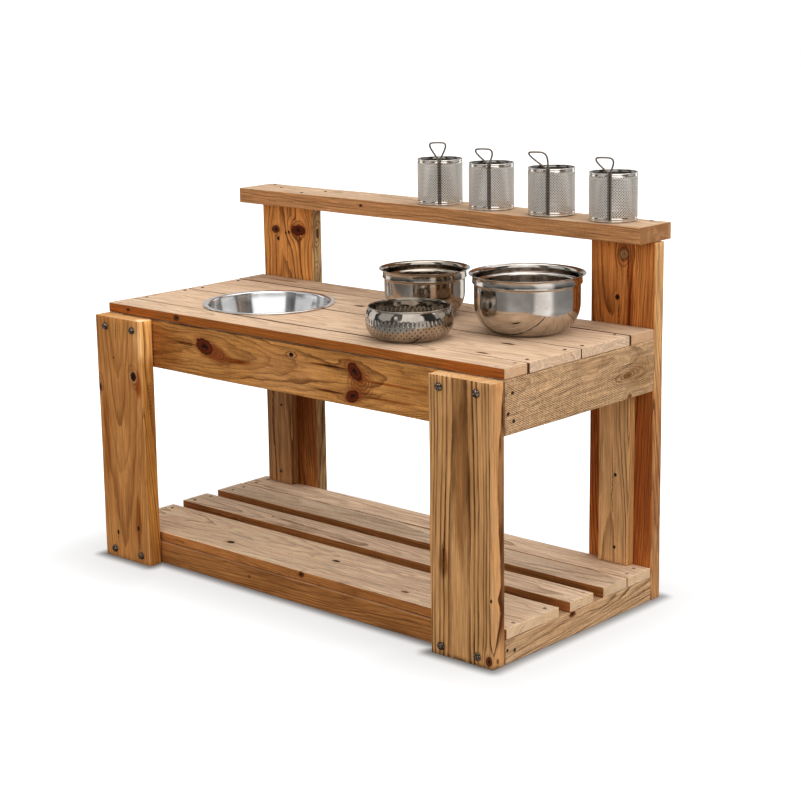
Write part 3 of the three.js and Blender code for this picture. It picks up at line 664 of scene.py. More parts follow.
# Curls of grain: x, y, z and radius in millimetres, stretch, tilt, warmth and number of rings.
SWIRLS = {
    "front_leg_left": [(134, -14, 338, 11, 3.4, 0, 0.2, 5.0), (108, -33, 378, 17, 1.6, 0.3, 0.35, 2.5),
                       (2, -33, 352, 20, 1.4, 0, 0.2, 3.0)],
    "upper_front_rail": [(308, 0, 446, 21, 2.5, 0.3, 0.95, 5.0), (680, 0, 440, 30, 1.25, 0, 0.5, 5.0),
                         (666, 0, 457, 20, 1.8, 0.75, 0.6, 4.0), (664, 0, 417, 16, 1.9, -0.3, 0.6, 4.0),
                         (509, 0, 469, 9, 2.4, 0, 0.3, 2.0)],
    "upper_side_rail_right": [(1000, 346, 438, 17, 3.6, 0, 0.1, 4.0)],
    "rear_post_left": [(151, 440, 600, 13, 2.4, 0, 0.0, 3.0), (151, 438, 520, 12, 3.2, 0, 0.0, 3.0),
                       (110, 426, 611, 26, 1.0, 0, 0.3, 3.0)],
    "rear_post_right": [(932, 426, 638, 20, 1.5, 0, 0.25, 3.0)],
}

# Drying cracks: x, y, z of the middle, half the length and half the width, in millimetres.
CRACKS = {
    "front_leg_left": [(60, -33, 462, 26, 0.6), (106, -33, 40, 22, 0.9), (41, -33, 40, 10, 0.5)],
    "front_leg_right": [(892, -33, 172, 60, 0.5)],
    "upper_front_rail": [(205, 0, 452, 62, 0.5), (612, 0, 462, 44, 0.45), (700, 0, 424, 34, 0.35)],
    "rear_post_left": [(79, 426, 650, 16, 0.9), (78, 426, 560, 60, 0.4)],
    "rear_post_right": [(941, 426, 606, 38, 1.0), (921, 426, 530, 30, 0.7), (944, 426, 510, 60, 0.4)],
    "worktop_board_sink_front": [(640, 120, 509, 60, 0.4), (300, 90, 509, 40, 0.35),
                                 (874, 168, 509, 34, 0.5)],
    "worktop_board_sink_back": [(390, 271, 509, 60, 0.45), (760, 300, 509, 50, 0.3)],
    "worktop_board_back": [(900, 372, 509, 60, 0.5)],
    "deck_slat_front": [(300, 80, 63, 80, 0.4), (560, 84, 63, 60, 0.35), (740, 60, 63, 70, 0.4),
                        (120, 60, 63, 60, 0.4)],
    "batten_right": [(926, 406, 210, 80, 0.6)],
    "lower_side_rail_right": [(1000, 250, 30, 70, 0.4)],
}

# Broad patches: x, y, z, half length along the grain and half width in millimetres, and the tint
# that the colour is multiplied by, 0 to 255 a channel and more to make it paler. Some are painted
# shade and light, as marked.
PATCHES_AND_PAINTED_LIGHT = {
    "front_leg_right": [(934, -33, 340, 210, 24, (194, 180, 164)), (892, -33, 170, 36, 12, (180, 160, 140))],
    "front_leg_left": [(134, -14, 456, 60, 34, (328, 362, 420)), (20, -33, 250, 120, 14, (214, 196, 176)),
                       (104, -33, 90, 60, 12, (200, 176, 150)), (120, -33, 364, 30, 12, (206, 160, 122))],
    # The first patch here is a painted shadow: a thin dark strip along the rail's top, under the worktop.
    "upper_front_rail": [(500, 0, 491, 900, 4, (96, 76, 64)), (490, 0, 430, 110, 50, (264, 270, 292)),
                         (130, 0, 440, 110, 60, (214, 196, 176)), (596, 0, 461, 60, 2.6, (140, 100, 74)),
                         (604, 0, 415, 42, 2.6, (140, 100, 74)), (740, 0, 418, 80, 3, (206, 170, 140)),
                         (740, 0, 446, 110, 3, (206, 170, 140)), (350, 0, 437, 60, 6, (190, 140, 106)),
                         (225, 0, 455, 44, 2, (150, 110, 80))],
    # The first patch is painted shade: it darkens the post's lower part, behind the side rail.
    "rear_post_right": [(930, 426, 250, 300, 120, (214, 190, 182)),
                        (945, 426, 560, 120, 10, (200, 170, 150))],
    "batten_left": [(60, 406, 230, 420, 120, (190, 176, 168))],
    # The first patch is painted shade: it darkens the post's lower part, which lies in shadow.
    "rear_post_left": [(78, 426, 230, 330, 130, (162, 147, 142)), (110, 426, 250, 110, 30, (220, 200, 180))],
    "upper_side_rail_right": [(1000, 390, 440, 40, 40, (230, 222, 210))],
    "worktop_board_front": [(400, 70, 509, 900, 150, (270, 272, 276))],
    # Painted light: this patch makes the left part of the front slat paler, against the front rail's shade.
    "deck_slat_front": [(150, 76, 63, 480, 200, (274, 275, 272))],
    "deck_slat_third": [(500, 314, 63, 700, 90, (234, 236, 236))],
    "lower_front_rail": [(500, 0, 30, 700, 60, (240, 232, 230))],
}
# How deep knots and cracks go into a timber, in millimetres.
KNOT_REACH = 14.0
CRACK_REACH = 6.0
# A timber's faces bow in two slow waves, of this many millimetres and these lengths along it, and stay
# this far inside its solid, so that no ridge stands out of it.
BOWS = ((0.35, 130), (0.2, 47))
INSIDE = 0.56
SEAM = paint(78, 48, 28)
WOOD_RELIEF = 0.6 * MM


def stand_place(x, y, z):
    """A place given in millimetres from the stand's corner, in the scene's metres."""
    return np.array([x, y, z]) * MM + np.array(CORNER)


def ticks(low, high, step, radius):
    """Grid lines between two ends: close together over each rounded edge, then at an even step."""
    edge = np.array(EDGE_TICKS) * radius
    count = max(int(round((high - low - 2 * radius) / step)), 1)
    middle = np.linspace(low + radius, high - radius, count + 1)[1:-1]
    return np.concatenate([low + edge, middle, (high - edge)[::-1]])


def box_skin(lines):
    """Points and quads of a box's skin over three sets of grid lines, each shared point once."""
    count = [len(line) for line in lines]
    quads = []
    for axis in range(3):
        a, b = (axis + 1) % 3, (axis + 2) % 3
        at_a, at_b = np.meshgrid(np.arange(count[a] - 1), np.arange(count[b] - 1), indexing="ij")
        for side in (0, count[axis] - 1):
            corners = []
            for step_a, step_b in ((0, 0), (1, 0), (1, 1), (0, 1)):
                index = {axis: side, a: at_a + step_a, b: at_b + step_b}
                corners.append(index[0] + count[0] * (index[1] + count[1] * index[2]))
            skin = np.stack(corners, -1).reshape(-1, 4)
            quads.append(skin if side else skin[:, ::-1])
    keys, faces = np.unique(np.concatenate(quads), return_inverse=True)
    places = (keys % count[0], keys // count[0] % count[1], keys // (count[0] * count[1]))
    points = np.stack([line[place] for line, place in zip(lines, places)], -1)
    return points, faces.reshape(-1, 4)


def ring_phases(seed):
    """Where each of the pith's sways starts, in radians."""
    return np.random.default_rng(seed).uniform(0, 2 * np.pi, len(SWAYS))


def ring_field(local, wood, phases):
    """Each point's distance from the log's pith, in millimetres: the same formula as the grain's.

    The pith runs along the timber and sways in slow sine waves, and the rings narrow towards one end.
    """
    along, across, deep = local.T
    waves = [size * np.sin(along / length + phase) for (size, length), phase in zip(SWAYS, phases)]
    aside = across - wood["pith"][0] - waves[0] - waves[1]
    return np.hypot(aside, deep - wood["pith"][1] - waves[2]) + wood["taper"] * along


def timber_mesh(name, order, wood, seed):
    """A rounded box over a timber's solid, its skin raised in ridges along the growth rings."""
    low, high = (np.array(corner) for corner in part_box(name))
    radius = np.full(3, wood["round"] * MM)
    radius[order[0]] = END_RADIUS
    step = np.full(3, ACROSS_STEP)
    step[order[0]] = ALONG_STEP
    points, faces = box_skin([ticks(low[k], high[k], step[k], radius[k]) for k in range(3)])
    inner = np.clip(points, low + radius, high - radius)
    normal = (points - inner) / radius
    normal /= np.linalg.norm(normal, axis=1, keepdims=True)
    points = inner + normal * radius
    local = ((points - (low + high) / 2) / MM)[:, order]
    phase = (ring_field(local, wood, ring_phases(seed)) / wood["ring"]) % 1
    ridge = np.sin(np.pi * phase) ** 2 - 0.5
    shift = np.random.default_rng(seed + 100).uniform(0, 2 * np.pi, 2)
    along, across = ((points - low) / MM)[:, order[:2]].T
    (slow, slow_length), (quick, quick_length) = BOWS
    bow = (slow * np.sin(along / slow_length + shift[0])
           + quick * np.sin(along / quick_length + across / 60 + shift[1]))
    points = points + normal * ((wood["ridge"] * (ridge - 0.5) + bow - INSIDE) * MM)[:, None]
    mesh = make_mesh(name, points, faces)
    edge = (1 - np.abs(normal).max(1)) / (1 - math.sqrt(0.5))
    point_attribute(mesh, "skin", np.stack([edge, np.abs(normal[:, order[0]]), np.zeros(len(edge))], -1))
    point_attribute(mesh, "facing", normal)
    return mesh


def face_light_factor(colour, early):
    """The factor that turns early wood into a face's colour: painted light and shade for that face."""
    return (*(np.array(srgb(*colour)) / np.array(srgb(*early))), 1)


def local_place(g, place, middle, half):
    """A mark's own coordinates: along the grain, beside its middle on its face, and into the timber.

    The face is the one that the mark lies nearest to. Also gives the way beside as an axis.
    """
    is_on_edge = half[1] - abs(middle[1]) < half[2] - abs(middle[2])
    parts = g.split(g.vector("SUBTRACT", place, tuple(middle)))
    beside, deep = (2, 1) if is_on_edge else (1, 2)
    return g.join(parts[0], parts[beside], parts[deep]), (0.0, 0.0, 1.0) if is_on_edge else (0.0, 1.0, 0.0)


def tilted(g, local, tilt):
    """A mark's coordinates turned on its face by an angle in radians."""
    return g.out(0, "ShaderNodeMapping", {"Vector": local, "Rotation": (0.0, 0.0, tilt)}) if tilt else local


def timber_material(name, order, colours, wood, seed):
    """The grain of one timber, with its patches, curls, knots and cracks laid over it in turn."""
    material, g, shader = start_material(name + "_wood", Specular_IOR_Level=0.05)
    low, high = (np.array(corner)[order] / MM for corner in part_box(name))
    centre, half = (low + high) / 2, (high - low) / 2
    parts = g.split(g.coordinates())
    metres = g.join(*(parts[k] for k in order))
    place = g.vector("SUBTRACT", g.vector("MULTIPLY", metres, (1 / MM, 1 / MM, 1 / MM)), tuple(centre))

    def marks(table):
        """The timber's marks in a table: their own coordinates, the way beside and what else it says."""
        return [(*local_place(g, place, stand_place(x, y, z)[order] / MM - centre, half), *rest)
                for x, y, z, *rest in table.get(name, [])]

    knots, parted = marks(KNOTS), place
    for local, beside, radius, stretch, *_ in knots:
        parted = use_group(g, "parted_grain", Place=parted, Local=local, Beside=beside, Reach=1.1 * radius,
                           Stretch=stretch)["Place"]
    paints = {label: paint(*colour) for label, colour in zip(("Early", "Late", "Stain", "Pale"), colours)}
    # The face tints are painted light and shade, one each for the top, side and front faces.
    faces = zip(("Top", "Side", "Front"), colours[4:])
    face_light_tints = {label: face_light_factor(colour, colours[0]) for label, colour in faces}
    slant = math.sin(wood["slant"])
    look = use_group(
        g, "timber_grain", Place=place, Parted=parted, Shift=(seed * 370.0, seed * 110.0, seed * 230.0),
        Pith=(0.0, *wood["pith"]), Phases=tuple(ring_phases(seed)), Taper=wood["taper"], Waver=wood["waver"],
        Ring_Width=wood["ring"], Contrast=wood["contrast"], Side_Contrast=wood["side"],
        Stain_Amount=wood["stain"], Wear=wood["wear"], Saw_Amount=wood["saw"],
        Saw_Way=(math.cos(wood["slant"]), slant, slant), Skin=g.attribute("skin"),
        Facing=g.attribute("facing"), **paints, **face_light_tints)
    colour, height = look["Color"], look["Height"]
    if wood["seam"]:
        inset = float(half[1]) - abs(g.split(place)[1])
        colour = g.mix(g.span(inset, 0.35 * wood["seam"], wood["seam"], 0.9, 0.0), colour, SEAM)
    for local, _, half_length, half_width, tint in marks(PATCHES_AND_PAINTED_LIGHT):
        spread = (1 / half_length, 1 / half_width, 1 / half_width)
        colour = use_group(g, "soft_patch", Color=colour, Local=local, Spread=spread,
                           Tint=paint(*tint))["Color"]
    for local, _, radius, stretch, tilt, warmth, rings in marks(SWIRLS):
        spread = (1 / (radius * stretch), 1 / radius, 1 / KNOT_REACH)
        colour = use_group(g, "swirl", Color=colour, Local=tilted(g, local, tilt), Spread=spread,
                           Warmth=warmth, Rings=rings)["Color"]
    for local, _, radius, stretch, kind, tilt in knots:
        wood_colour, halo, hole = KNOT_KINDS[kind]
        spread = (1 / (radius * stretch), 1 / radius, 1 / KNOT_REACH)
        knot = use_group(g, "knot", Color=colour, Height=height, Local=tilted(g, local, tilt), Spread=spread,
                         Wood=paint(*wood_colour), Halo=paint(*halo), Hole=hole)
        colour, height = knot["Color"], knot["Height"]
    for number, (local, _, half_length, half_width) in enumerate(marks(CRACKS)):
        crack = use_group(g, "crack", Color=colour, Height=height, Local=local, Half_Length=half_length,
                          Half_Width=half_width, Reach=CRACK_REACH, Seed=seed * 31.0 + number * 7.0)
        colour, height = crack["Color"], crack["Height"]
    coat(g, shader, colour, look["Roughness"], height, WOOD_RELIEF)
    return material


def cut_round_hole(mesh, centre, radius, low, high):
    """Cuts an upright round hole through a mesh with a Boolean modifier and returns the cut mesh."""
    turn = np.linspace(0, 2 * np.pi, 96, endpoint=False)
    ring = np.stack([centre[0] + radius * np.cos(turn), centre[1] + radius * np.sin(turn)], -1)
    levels = np.repeat([low, high], len(turn))[:, None]
    points = np.concatenate([np.concatenate([ring, ring]), levels], 1)
    lids = np.stack([np.arange(len(turn))[::-1], np.arange(len(turn)) + len(turn)])
    plug = bpy.data.objects.new("plug", make_mesh("plug", points, grid_faces(2, len(turn)), lids))
    board = bpy.data.objects.new("board", mesh)
    for item in (plug, board):
        bpy.context.scene.collection.objects.link(item)
    cut = board.modifiers.new("hole", "BOOLEAN")
    cut.operation, cut.solver, cut.object = "DIFFERENCE", "EXACT", plug
    result = bpy.data.meshes.new_from_object(board.evaluated_get(bpy.context.evaluated_depsgraph_get()))
    for item in (plug, board):
        bpy.data.objects.remove(item)
    return result


class TimberSettings(bpy.types.PropertyGroup):
    """Sizes that all the timbers share."""

    hole_clearance: FloatProperty(name="Sink Hole Clearance", description="Gap round the sink in its hole",
                                  default=1.5 * MM, min=0, unit="LENGTH")


class KITCHEN_OT_timbers(bpy.types.Operator):
    """Makes the rails, legs, posts, boards, slats, battens and the shelf"""

    bl_idname = "mud_kitchen.timbers"
    bl_label = "Make Timbers"

    def execute(self, context):
        for build in (build_parting_group, build_grain_group, build_patch_group, build_swirl_group,
                      build_knot_group, build_crack_group):
            build()
        sink_low, sink_high = (np.array(corner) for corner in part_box("sink_bowl"))
        centre = (sink_low + sink_high) / 2
        mouth = SINK_MOUTH_RADIUS + context.scene.mud_timber.hole_clearance
        for seed, (name, (kind, changes)) in enumerate(TIMBERS.items(), 1):
            wood = {**PLAIN, **KINDS.get(kind, {}), **changes}
            axes, *colours = PALETTES[kind]
            order = ["xyz".index(axis) for axis in axes]
            mesh = timber_mesh(name, order, wood, seed)
            if name.startswith("worktop_board_sink"):
                low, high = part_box(name)
                mesh = cut_round_hole(mesh, centre, mouth, low[2] - 3 * MM, high[2] + 3 * MM)
            material = timber_material(name, order, colours, wood, seed)
            finish_piece(name + "_timber", mesh, material, STAND, [name])
        return {"FINISHED"}


# Screws

COACH_FLANGE = 7.4 * MM
COACH_HEAD = 5.7 * MM
COACH_FLANGE_RISE = 1.3 * MM
COACH_HEAD_RISE = 5.2 * MM
COACH_RECESS = 2.7 * MM
COACH_RECESS_DEPTH = 2.6 * MM
COACH_SEGMENTS = 48
DOME_TURN = 1.15
STAR_SHARE = 0.14


def facing(points, direction, place):
    """Points drawn looking up Z, turned to look along a direction and moved to a place."""
    turn = Vector((0, 0, 1)).rotation_difference(Vector(direction)).to_matrix()
    return points @ np.array(turn).T + np.array(place)


def with_recess(outline, segments, reach, level, share, lobes):
    """A screw head turned from its outline, with a recess of radius r (1 + share cos(lobes t)).

    The recess is what lies within a reach of the axis and above a level.
    """
    points, quads, fans = revolve(outline, segments)
    turn = np.arctan2(points[:, 1], points[:, 0])
    is_recess = (np.hypot(points[:, 0], points[:, 1]) < reach) & (points[:, 2] > level)
    points[:, :2] *= np.where(is_recess, 1 + share * np.cos(lobes * turn), 1)[:, None]
    return points, quads, fans


def coach_head():
    """A domed coach screw head: a washer flange, a round dome and a six-lobed recess."""
    turn = np.linspace(0.12, DOME_TURN, 7)
    rise = COACH_FLANGE_RISE + (COACH_HEAD_RISE - COACH_FLANGE_RISE) * np.sin(turn) / math.sin(DOME_TURN)
    pit = COACH_HEAD_RISE - COACH_RECESS_DEPTH
    outline = np.array([
        [0, 0], [COACH_FLANGE, 0], [COACH_FLANGE, 0.7 * COACH_FLANGE_RISE],
        [0.94 * COACH_FLANGE, COACH_FLANGE_RISE], *np.stack([COACH_HEAD * np.cos(turn) ** 0.7, rise], -1),
        [1.12 * COACH_RECESS, COACH_HEAD_RISE], [COACH_RECESS, 0.97 * COACH_HEAD_RISE],
        [0.92 * COACH_RECESS, pit], [0, 0.9 * pit],
    ])
    return with_recess(outline, COACH_SEGMENTS, 1.05 * COACH_RECESS, 0.5 * COACH_FLANGE_RISE, STAR_SHARE, 6)


def spotted_metal(name, metallic, colours, size, low, high, rough_size, smooth, rough):
    """Metal in two colours, in patches, and with patches of two roughnesses."""
    material, g, shader = start_material(name, Metallic=metallic)
    place = g.coordinates()
    colour = g.mix(g.span(g.noise(place, size, 3.0), low, high), *(paint(*colour) for colour in colours))
    coat(g, shader, colour, g.span(g.noise(place, rough_size), 0.3, 0.7, smooth, rough))
    return material


class KITCHEN_OT_coach_screws(bpy.types.Operator):
    """Makes the coach screws that hold the legs and posts"""

    bl_idname = "mud_kitchen.coach_screws"
    bl_label = "Make Coach Screws"

    def execute(self, context):
        zinc = spotted_metal("zinc", 1.0, ((158, 146, 130), (62, 48, 36)), 380.0, 0.36, 0.54, 900.0, 0.28,
                             0.5)
        points, quads, fans = coach_head()
        for number, node in enumerate(sorted(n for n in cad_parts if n.startswith("coach_screw"))):
            low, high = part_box(node)
            is_front = "front_leg" in node
            seat = low[1] + COACH_HEAD_RISE if is_front else high[1] - COACH_HEAD_RISE
            place = ((low[0] + high[0]) / 2, seat, (low[2] + high[2]) / 2)
            spun = turned(points, 0.7 * number, (0, 0, 0))
            faced = facing(spun, (0, -1 if is_front else 1, 0), place)
            mesh = make_mesh(node, faced, quads, fans)
            finish_piece(node + "_head", mesh, zinc, STAND, [node])
        return {"FINISHED"}


SCREW_HEAD = 2.7 * MM
SCREW_RECESS = 1.5 * MM
SCREW_SEGMENTS = 24
SCREW_PROUD = 0.45 * MM
# Countersunk screws, in millimetres from the stand's corner, and the way that each group's heads face.
BOARD_SCREWS = [(26, 12), (21, 46), (17, 88), (19, 188), (24, 232), (21, 335), (23, 372), (20, 414),
                (974, 11), (979, 85), (980, 187), (984, 231), (973, 342), (975, 379), (972, 420), (981, 50)]
DECK_SCREWS = [(18, 34), (22, 128), (16, 196), (20, 237), (21, 300), (23, 330), (18, 372), (22, 404),
               (986, 38), (983, 129), (987, 197), (985, 237), (976, 308), (981, 330), (984, 372), (976, 405)]
SHELF_SCREWS = [(961, 470), (5, 466), (149, 400), (177, 441), (905, 442), (52, 438)]
SIDE_SCREWS = [(20, 466), (23, 418), (403, 464), (409, 421), (25, 21), (404, 23)]
BATTEN_SCREWS = [(931, 94), (932, 232), (929, 372), (66, 235), (60, 88), (62, 370)]


def screw_head():
    """A countersunk head: a shallow dish round a four-lobed recess."""
    outline = np.array([
        [0, -1], [1, -1], [1.25, 0.3], [1.08, 0.9], [1, 0.15], [0.8, 0.5],
        [1.1 * SCREW_RECESS / SCREW_HEAD, 0.3], [0.8 * SCREW_RECESS / SCREW_HEAD, -0.6], [0, -0.7],
    ]) * (SCREW_HEAD, SCREW_PROUD)
    return with_recess(outline, SCREW_SEGMENTS, 0.85 * SCREW_RECESS, -0.8 * SCREW_PROUD, 0.3, 4)


def many(points, face_sets, places):
    """Copies of one small shape, side by side in one mesh."""
    count = len(points)
    moved = np.concatenate([points + np.array(place) for place in places])
    return moved, [np.concatenate([faces + count * k for k in range(len(places))]) for faces in face_sets]


class KITCHEN_OT_wood_screws(bpy.types.Operator):
    """Makes the countersunk screws in the boards, slats, shelf, side rails and battens"""

    bl_idname = "mud_kitchen.wood_screws"
    bl_label = "Make Wood Screws"

    def execute(self, context):
        material = spotted_metal("screw_steel", 0.8, ((96, 78, 60), (24, 16, 12)), 700.0, 0.4, 0.62, 1500.0,
                                 0.4, 0.65)
        head, quads, fans = screw_head()
        tops = {"worktop": ("worktop_board_front", BOARD_SCREWS), "deck": ("deck_slat_front", DECK_SCREWS),
                "shelf": ("shelf_board", SHELF_SCREWS)}
        groups = {}
        for label, (node, spots) in tops.items():
            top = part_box(node)[1][2] / MM
            groups[label] = ((0, 0, 1), [stand_place(x, y, top) for x, y in spots])
        right = (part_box("upper_side_rail_right")[1][0] - CORNER[0]) / MM
        front = (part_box("batten_right")[0][1] - CORNER[1]) / MM
        groups["right_side"] = ((1, 0, 0), [stand_place(right, y, z) for y, z in SIDE_SCREWS])
        groups["left_side"] = ((-1, 0, 0), [stand_place(0, y, z) for y, z in SIDE_SCREWS])
        groups["batten"] = ((0, -1, 0), [stand_place(x, front, z) for x, z in BATTEN_SCREWS])
        for label, (way, places) in groups.items():
            points, face_sets = many(facing(head, way, (0, 0, 0)), (quads, fans), places)
            points = points - np.array(way) * SCREW_PROUD
            mesh = make_mesh(label, points, *face_sets)
            finish_piece(label + "_wood_screws", mesh, material, STAND)
        return {"FINISHED"}


# Bowls

SINK_MOUTH_RADIUS = 118 * MM
SINK_WAIST_RADIUS = 106 * MM
SINK_BASE_RADIUS = 72 * MM
SINK_CURVE = 40 * MM
SINK_FLANGE_RISE = 3 * MM
SINK_BRIGHT = srgb(236, 236, 236)
SINK_GREY = srgb(226, 226, 226)
SINK_LINE_RELIEF = 0.004 * MM
BOWL_WALL = 0.9 * MM
BOWL_SEGMENTS = 160


class SteelSettings(bpy.types.PropertyGroup):
    """Colours and gloss of the steel pieces."""

    bright: FloatVectorProperty(name="Bright Steel", description="Steel where it is wiped clean", size=3,
                                subtype="COLOR", default=srgb(212, 207, 200), min=0, max=1)
    grey: FloatVectorProperty(name="Grey Steel", description="Steel where it is clouded", size=3,
                              subtype="COLOR", default=srgb(186, 179, 170), min=0, max=1)
    gloss: FloatProperty(name="Smoothest", description="Roughness where the steel is brightest",
                         default=0.07, min=0, max=1, subtype="FACTOR")


# How much of the steel's colour each bowl keeps: painted shade, which makes darker, warmer copies of the one
# steel.
BOWL_PAINTED_SHADE = {"large_mixing_bowl": (0.93, 0.91, 0.9), "small_mixing_bowl": (0.72, 0.66, 0.6),
               "hammered_bowl": (0.74, 0.7, 0.66)}


def box_centre(node):
    """The middle of a solid's box and its lowest and highest level."""
    low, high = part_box(node)
    return (low[0] + high[0]) / 2, (low[1] + high[1]) / 2, low[2], high[2]


def quarter(centre, reach, start, stop, count):
    """Points of an ellipse's arc between two angles: c + (a cos t, b sin t)."""
    turn = np.linspace(start, stop, count)
    return np.stack([centre[0] + reach[0] * np.cos(turn), centre[1] + reach[1] * np.sin(turn)], -1)


def bowl_steel(node, settings, dull, pits=""):
    """The steel of a loose bowl, darkened by the bowl's own painted shade."""
    x, y, low, _ = box_centre(node)
    bright, grey = (np.array(colour) * BOWL_PAINTED_SHADE[node] for colour in (settings.bright, settings.grey))
    return spun_material(node + "_steel", (x, y, low), settings.gloss, dull, bright, grey, pits=pits)


class KITCHEN_OT_sink(bpy.types.Operator):
    """Makes the sink bowl that is let into the worktop"""

    bl_idname = "mud_kitchen.sink"
    bl_label = "Make Sink"

    def execute(self, context):
        x, y, low, high = box_centre("sink_bowl")
        rim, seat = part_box("sink_bowl")[1][0] - x, high - SINK_FLANGE_RISE
        bend, inner = SINK_WAIST_RADIUS - SINK_BASE_RADIUS, SINK_MOUTH_RADIUS - BOWL_WALL
        roll = 1.5 * MM
        foot = (SINK_BASE_RADIUS, low + SINK_CURVE)
        outline = np.concatenate([
            [[0, low], [0.5 * SINK_BASE_RADIUS, low]],
            quarter(foot, (bend, SINK_CURVE), -np.pi / 2, 0, 16),
            [[SINK_MOUTH_RADIUS, seat - 3 * BOWL_WALL], [SINK_MOUTH_RADIUS, seat],
             [rim - 1.5 * BOWL_WALL, seat]],
            quarter((rim - roll, seat + SINK_FLANGE_RISE / 2), (roll, SINK_FLANGE_RISE / 2), -np.pi / 2,
                    np.pi / 2, 8),
            [[rim - 2 * roll, high], [SINK_MOUTH_RADIUS + roll, high - 0.5 * MM], [inner, high - 2.4 * MM],
             [inner, seat - 6 * MM]],
            quarter(foot, (bend - BOWL_WALL, SINK_CURVE - BOWL_WALL), 0, -np.pi / 2, 16),
            [[0.5 * SINK_BASE_RADIUS, low + BOWL_WALL], [0, low + BOWL_WALL]],
        ])
        points, quads, fans = revolve(cut_corners(outline, 1), BOWL_SEGMENTS)
        material = spun_material("sink_steel", (x, y, low), 0.16, 0.2, SINK_BRIGHT, SINK_GREY,
                                 SINK_LINE_RELIEF, 0.8)
        mesh = make_mesh("sink", points + np.array([x, y, 0]), quads, fans)
        finish_piece("sink_bowl_shell", mesh, material, "sink_bowl", ["sink_bowl"])
        return {"FINISHED"}


LIP_OVERHANG = 6.5 * MM
LIP_DROP = 3.0 * MM
NECK_DEPTH = 17 * MM
STEP_WIDTH = 3.0 * MM
STEP_DROP = 2.4 * MM
BASE_SHARE = 0.5
SHOULDER_SHARE = 0.5


def mixing_bowl_profile(rim, height):
    """A mixing bowl's closed outline: flat base, round shoulder, straight wall, step, neck and lip."""
    neck = rim - LIP_OVERHANG
    wall = neck - STEP_WIDTH
    base, shoulder = BASE_SHARE * rim, SHOULDER_SHARE * height
    step = height - NECK_DEPTH
    outer = np.concatenate([
        [[0, 0], [0.6 * base, 0]],
        quarter((base, shoulder), (wall - base, shoulder), -np.pi / 2, 0, 22),
        [[wall, step - 2.2 * STEP_DROP], [wall, step - STEP_DROP], [neck + 0.6 * MM, step],
         [neck, step + 2.5 * MM], [neck - 0.4 * MM, height - 0.5 * NECK_DEPTH],
         [neck, height - 1.8 * LIP_DROP], [neck + 1.2 * MM, height - LIP_DROP],
         [rim - 1.6 * MM, height - 0.9 * MM], [rim, height - 1.1 * MM]],
    ])
    return shell(cut_corners(outer, 2), BOWL_WALL)


class KITCHEN_OT_mixing_bowls(bpy.types.Operator):
    """Makes the two mixing bowls"""

    bl_idname = "mud_kitchen.mixing_bowls"
    bl_label = "Make Mixing Bowls"

    def execute(self, context):
        for node in ("large_mixing_bowl", "small_mixing_bowl"):
            x, y, low, high = box_centre(node)
            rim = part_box(node)[1][0] - x
            points, quads, fans = revolve(mixing_bowl_profile(rim, high - low), BOWL_SEGMENTS)
            mesh = make_mesh(node, points + np.array([x, y, low]), quads, fans)
            material = bowl_steel(node, context.scene.mud_steel, 0.26)
            finish_piece(node + "_shell", mesh, material, node, [node])
        return {"FINISHED"}


HAMMER_STEP = 1.14 * MM
HAMMER_SEGMENTS = 420
HAMMER_RIM_SHARE = 0.923
HAMMER_BASE_SHARE = 0.64
HAMMER_BELLY_SHARE = 0.51
FACETS = 17
DASHES = 58
DIMPLES = 48


def hammered_line(belly, height):
    """The hammered bowl's outer line: flat base, full belly, mouth drawn in and a rolled edge."""
    rim, base, waist = HAMMER_RIM_SHARE * belly, HAMMER_BASE_SHARE * belly, HAMMER_BELLY_SHARE * height
    return np.concatenate([
        [[0, 0]],
        quarter((base, waist), (belly - base, waist), -np.pi / 2, 0, 30),
        quarter((rim - MM, waist), (belly - rim + MM, height - waist - 3 * MM), 0, 0.42 * np.pi, 20)[1:],
        [[rim, height - 2.2 * MM], [rim + 1.3 * MM, height - 1.4 * MM], [rim + 1.1 * MM, height - 0.2 * MM],
         [rim - 0.4 * MM, height]],
    ])


def hammer_dents(turn, level):
    """How deep the hammer marks go, in millimetres, from the turn and the level as a share of height.

    Broad facets above, a row of upright dashes round the middle, and staggered round dimples below.
    Also gives how far a point lies in a small dimple or between the dashes, from 0 to 1.
    """
    broad = np.maximum(np.cos(FACETS * turn), -0.2) * np.exp(-((level - 0.84) / 0.10) ** 2) * 0.5
    dash = np.maximum(np.cos(DASHES * turn), 0) ** 2 * np.exp(-((level - 0.62) / 0.07) ** 4)
    small = np.zeros_like(turn)
    for row, middle in enumerate((0.47, 0.375, 0.28, 0.19)):
        beside = np.maximum(np.cos(DIMPLES * turn + np.pi * row), 0) ** 4
        small = np.maximum(small, beside * np.exp(-((level - middle) / 0.032) ** 2))
    return broad + 0.9 * dash + 1.1 * small, small


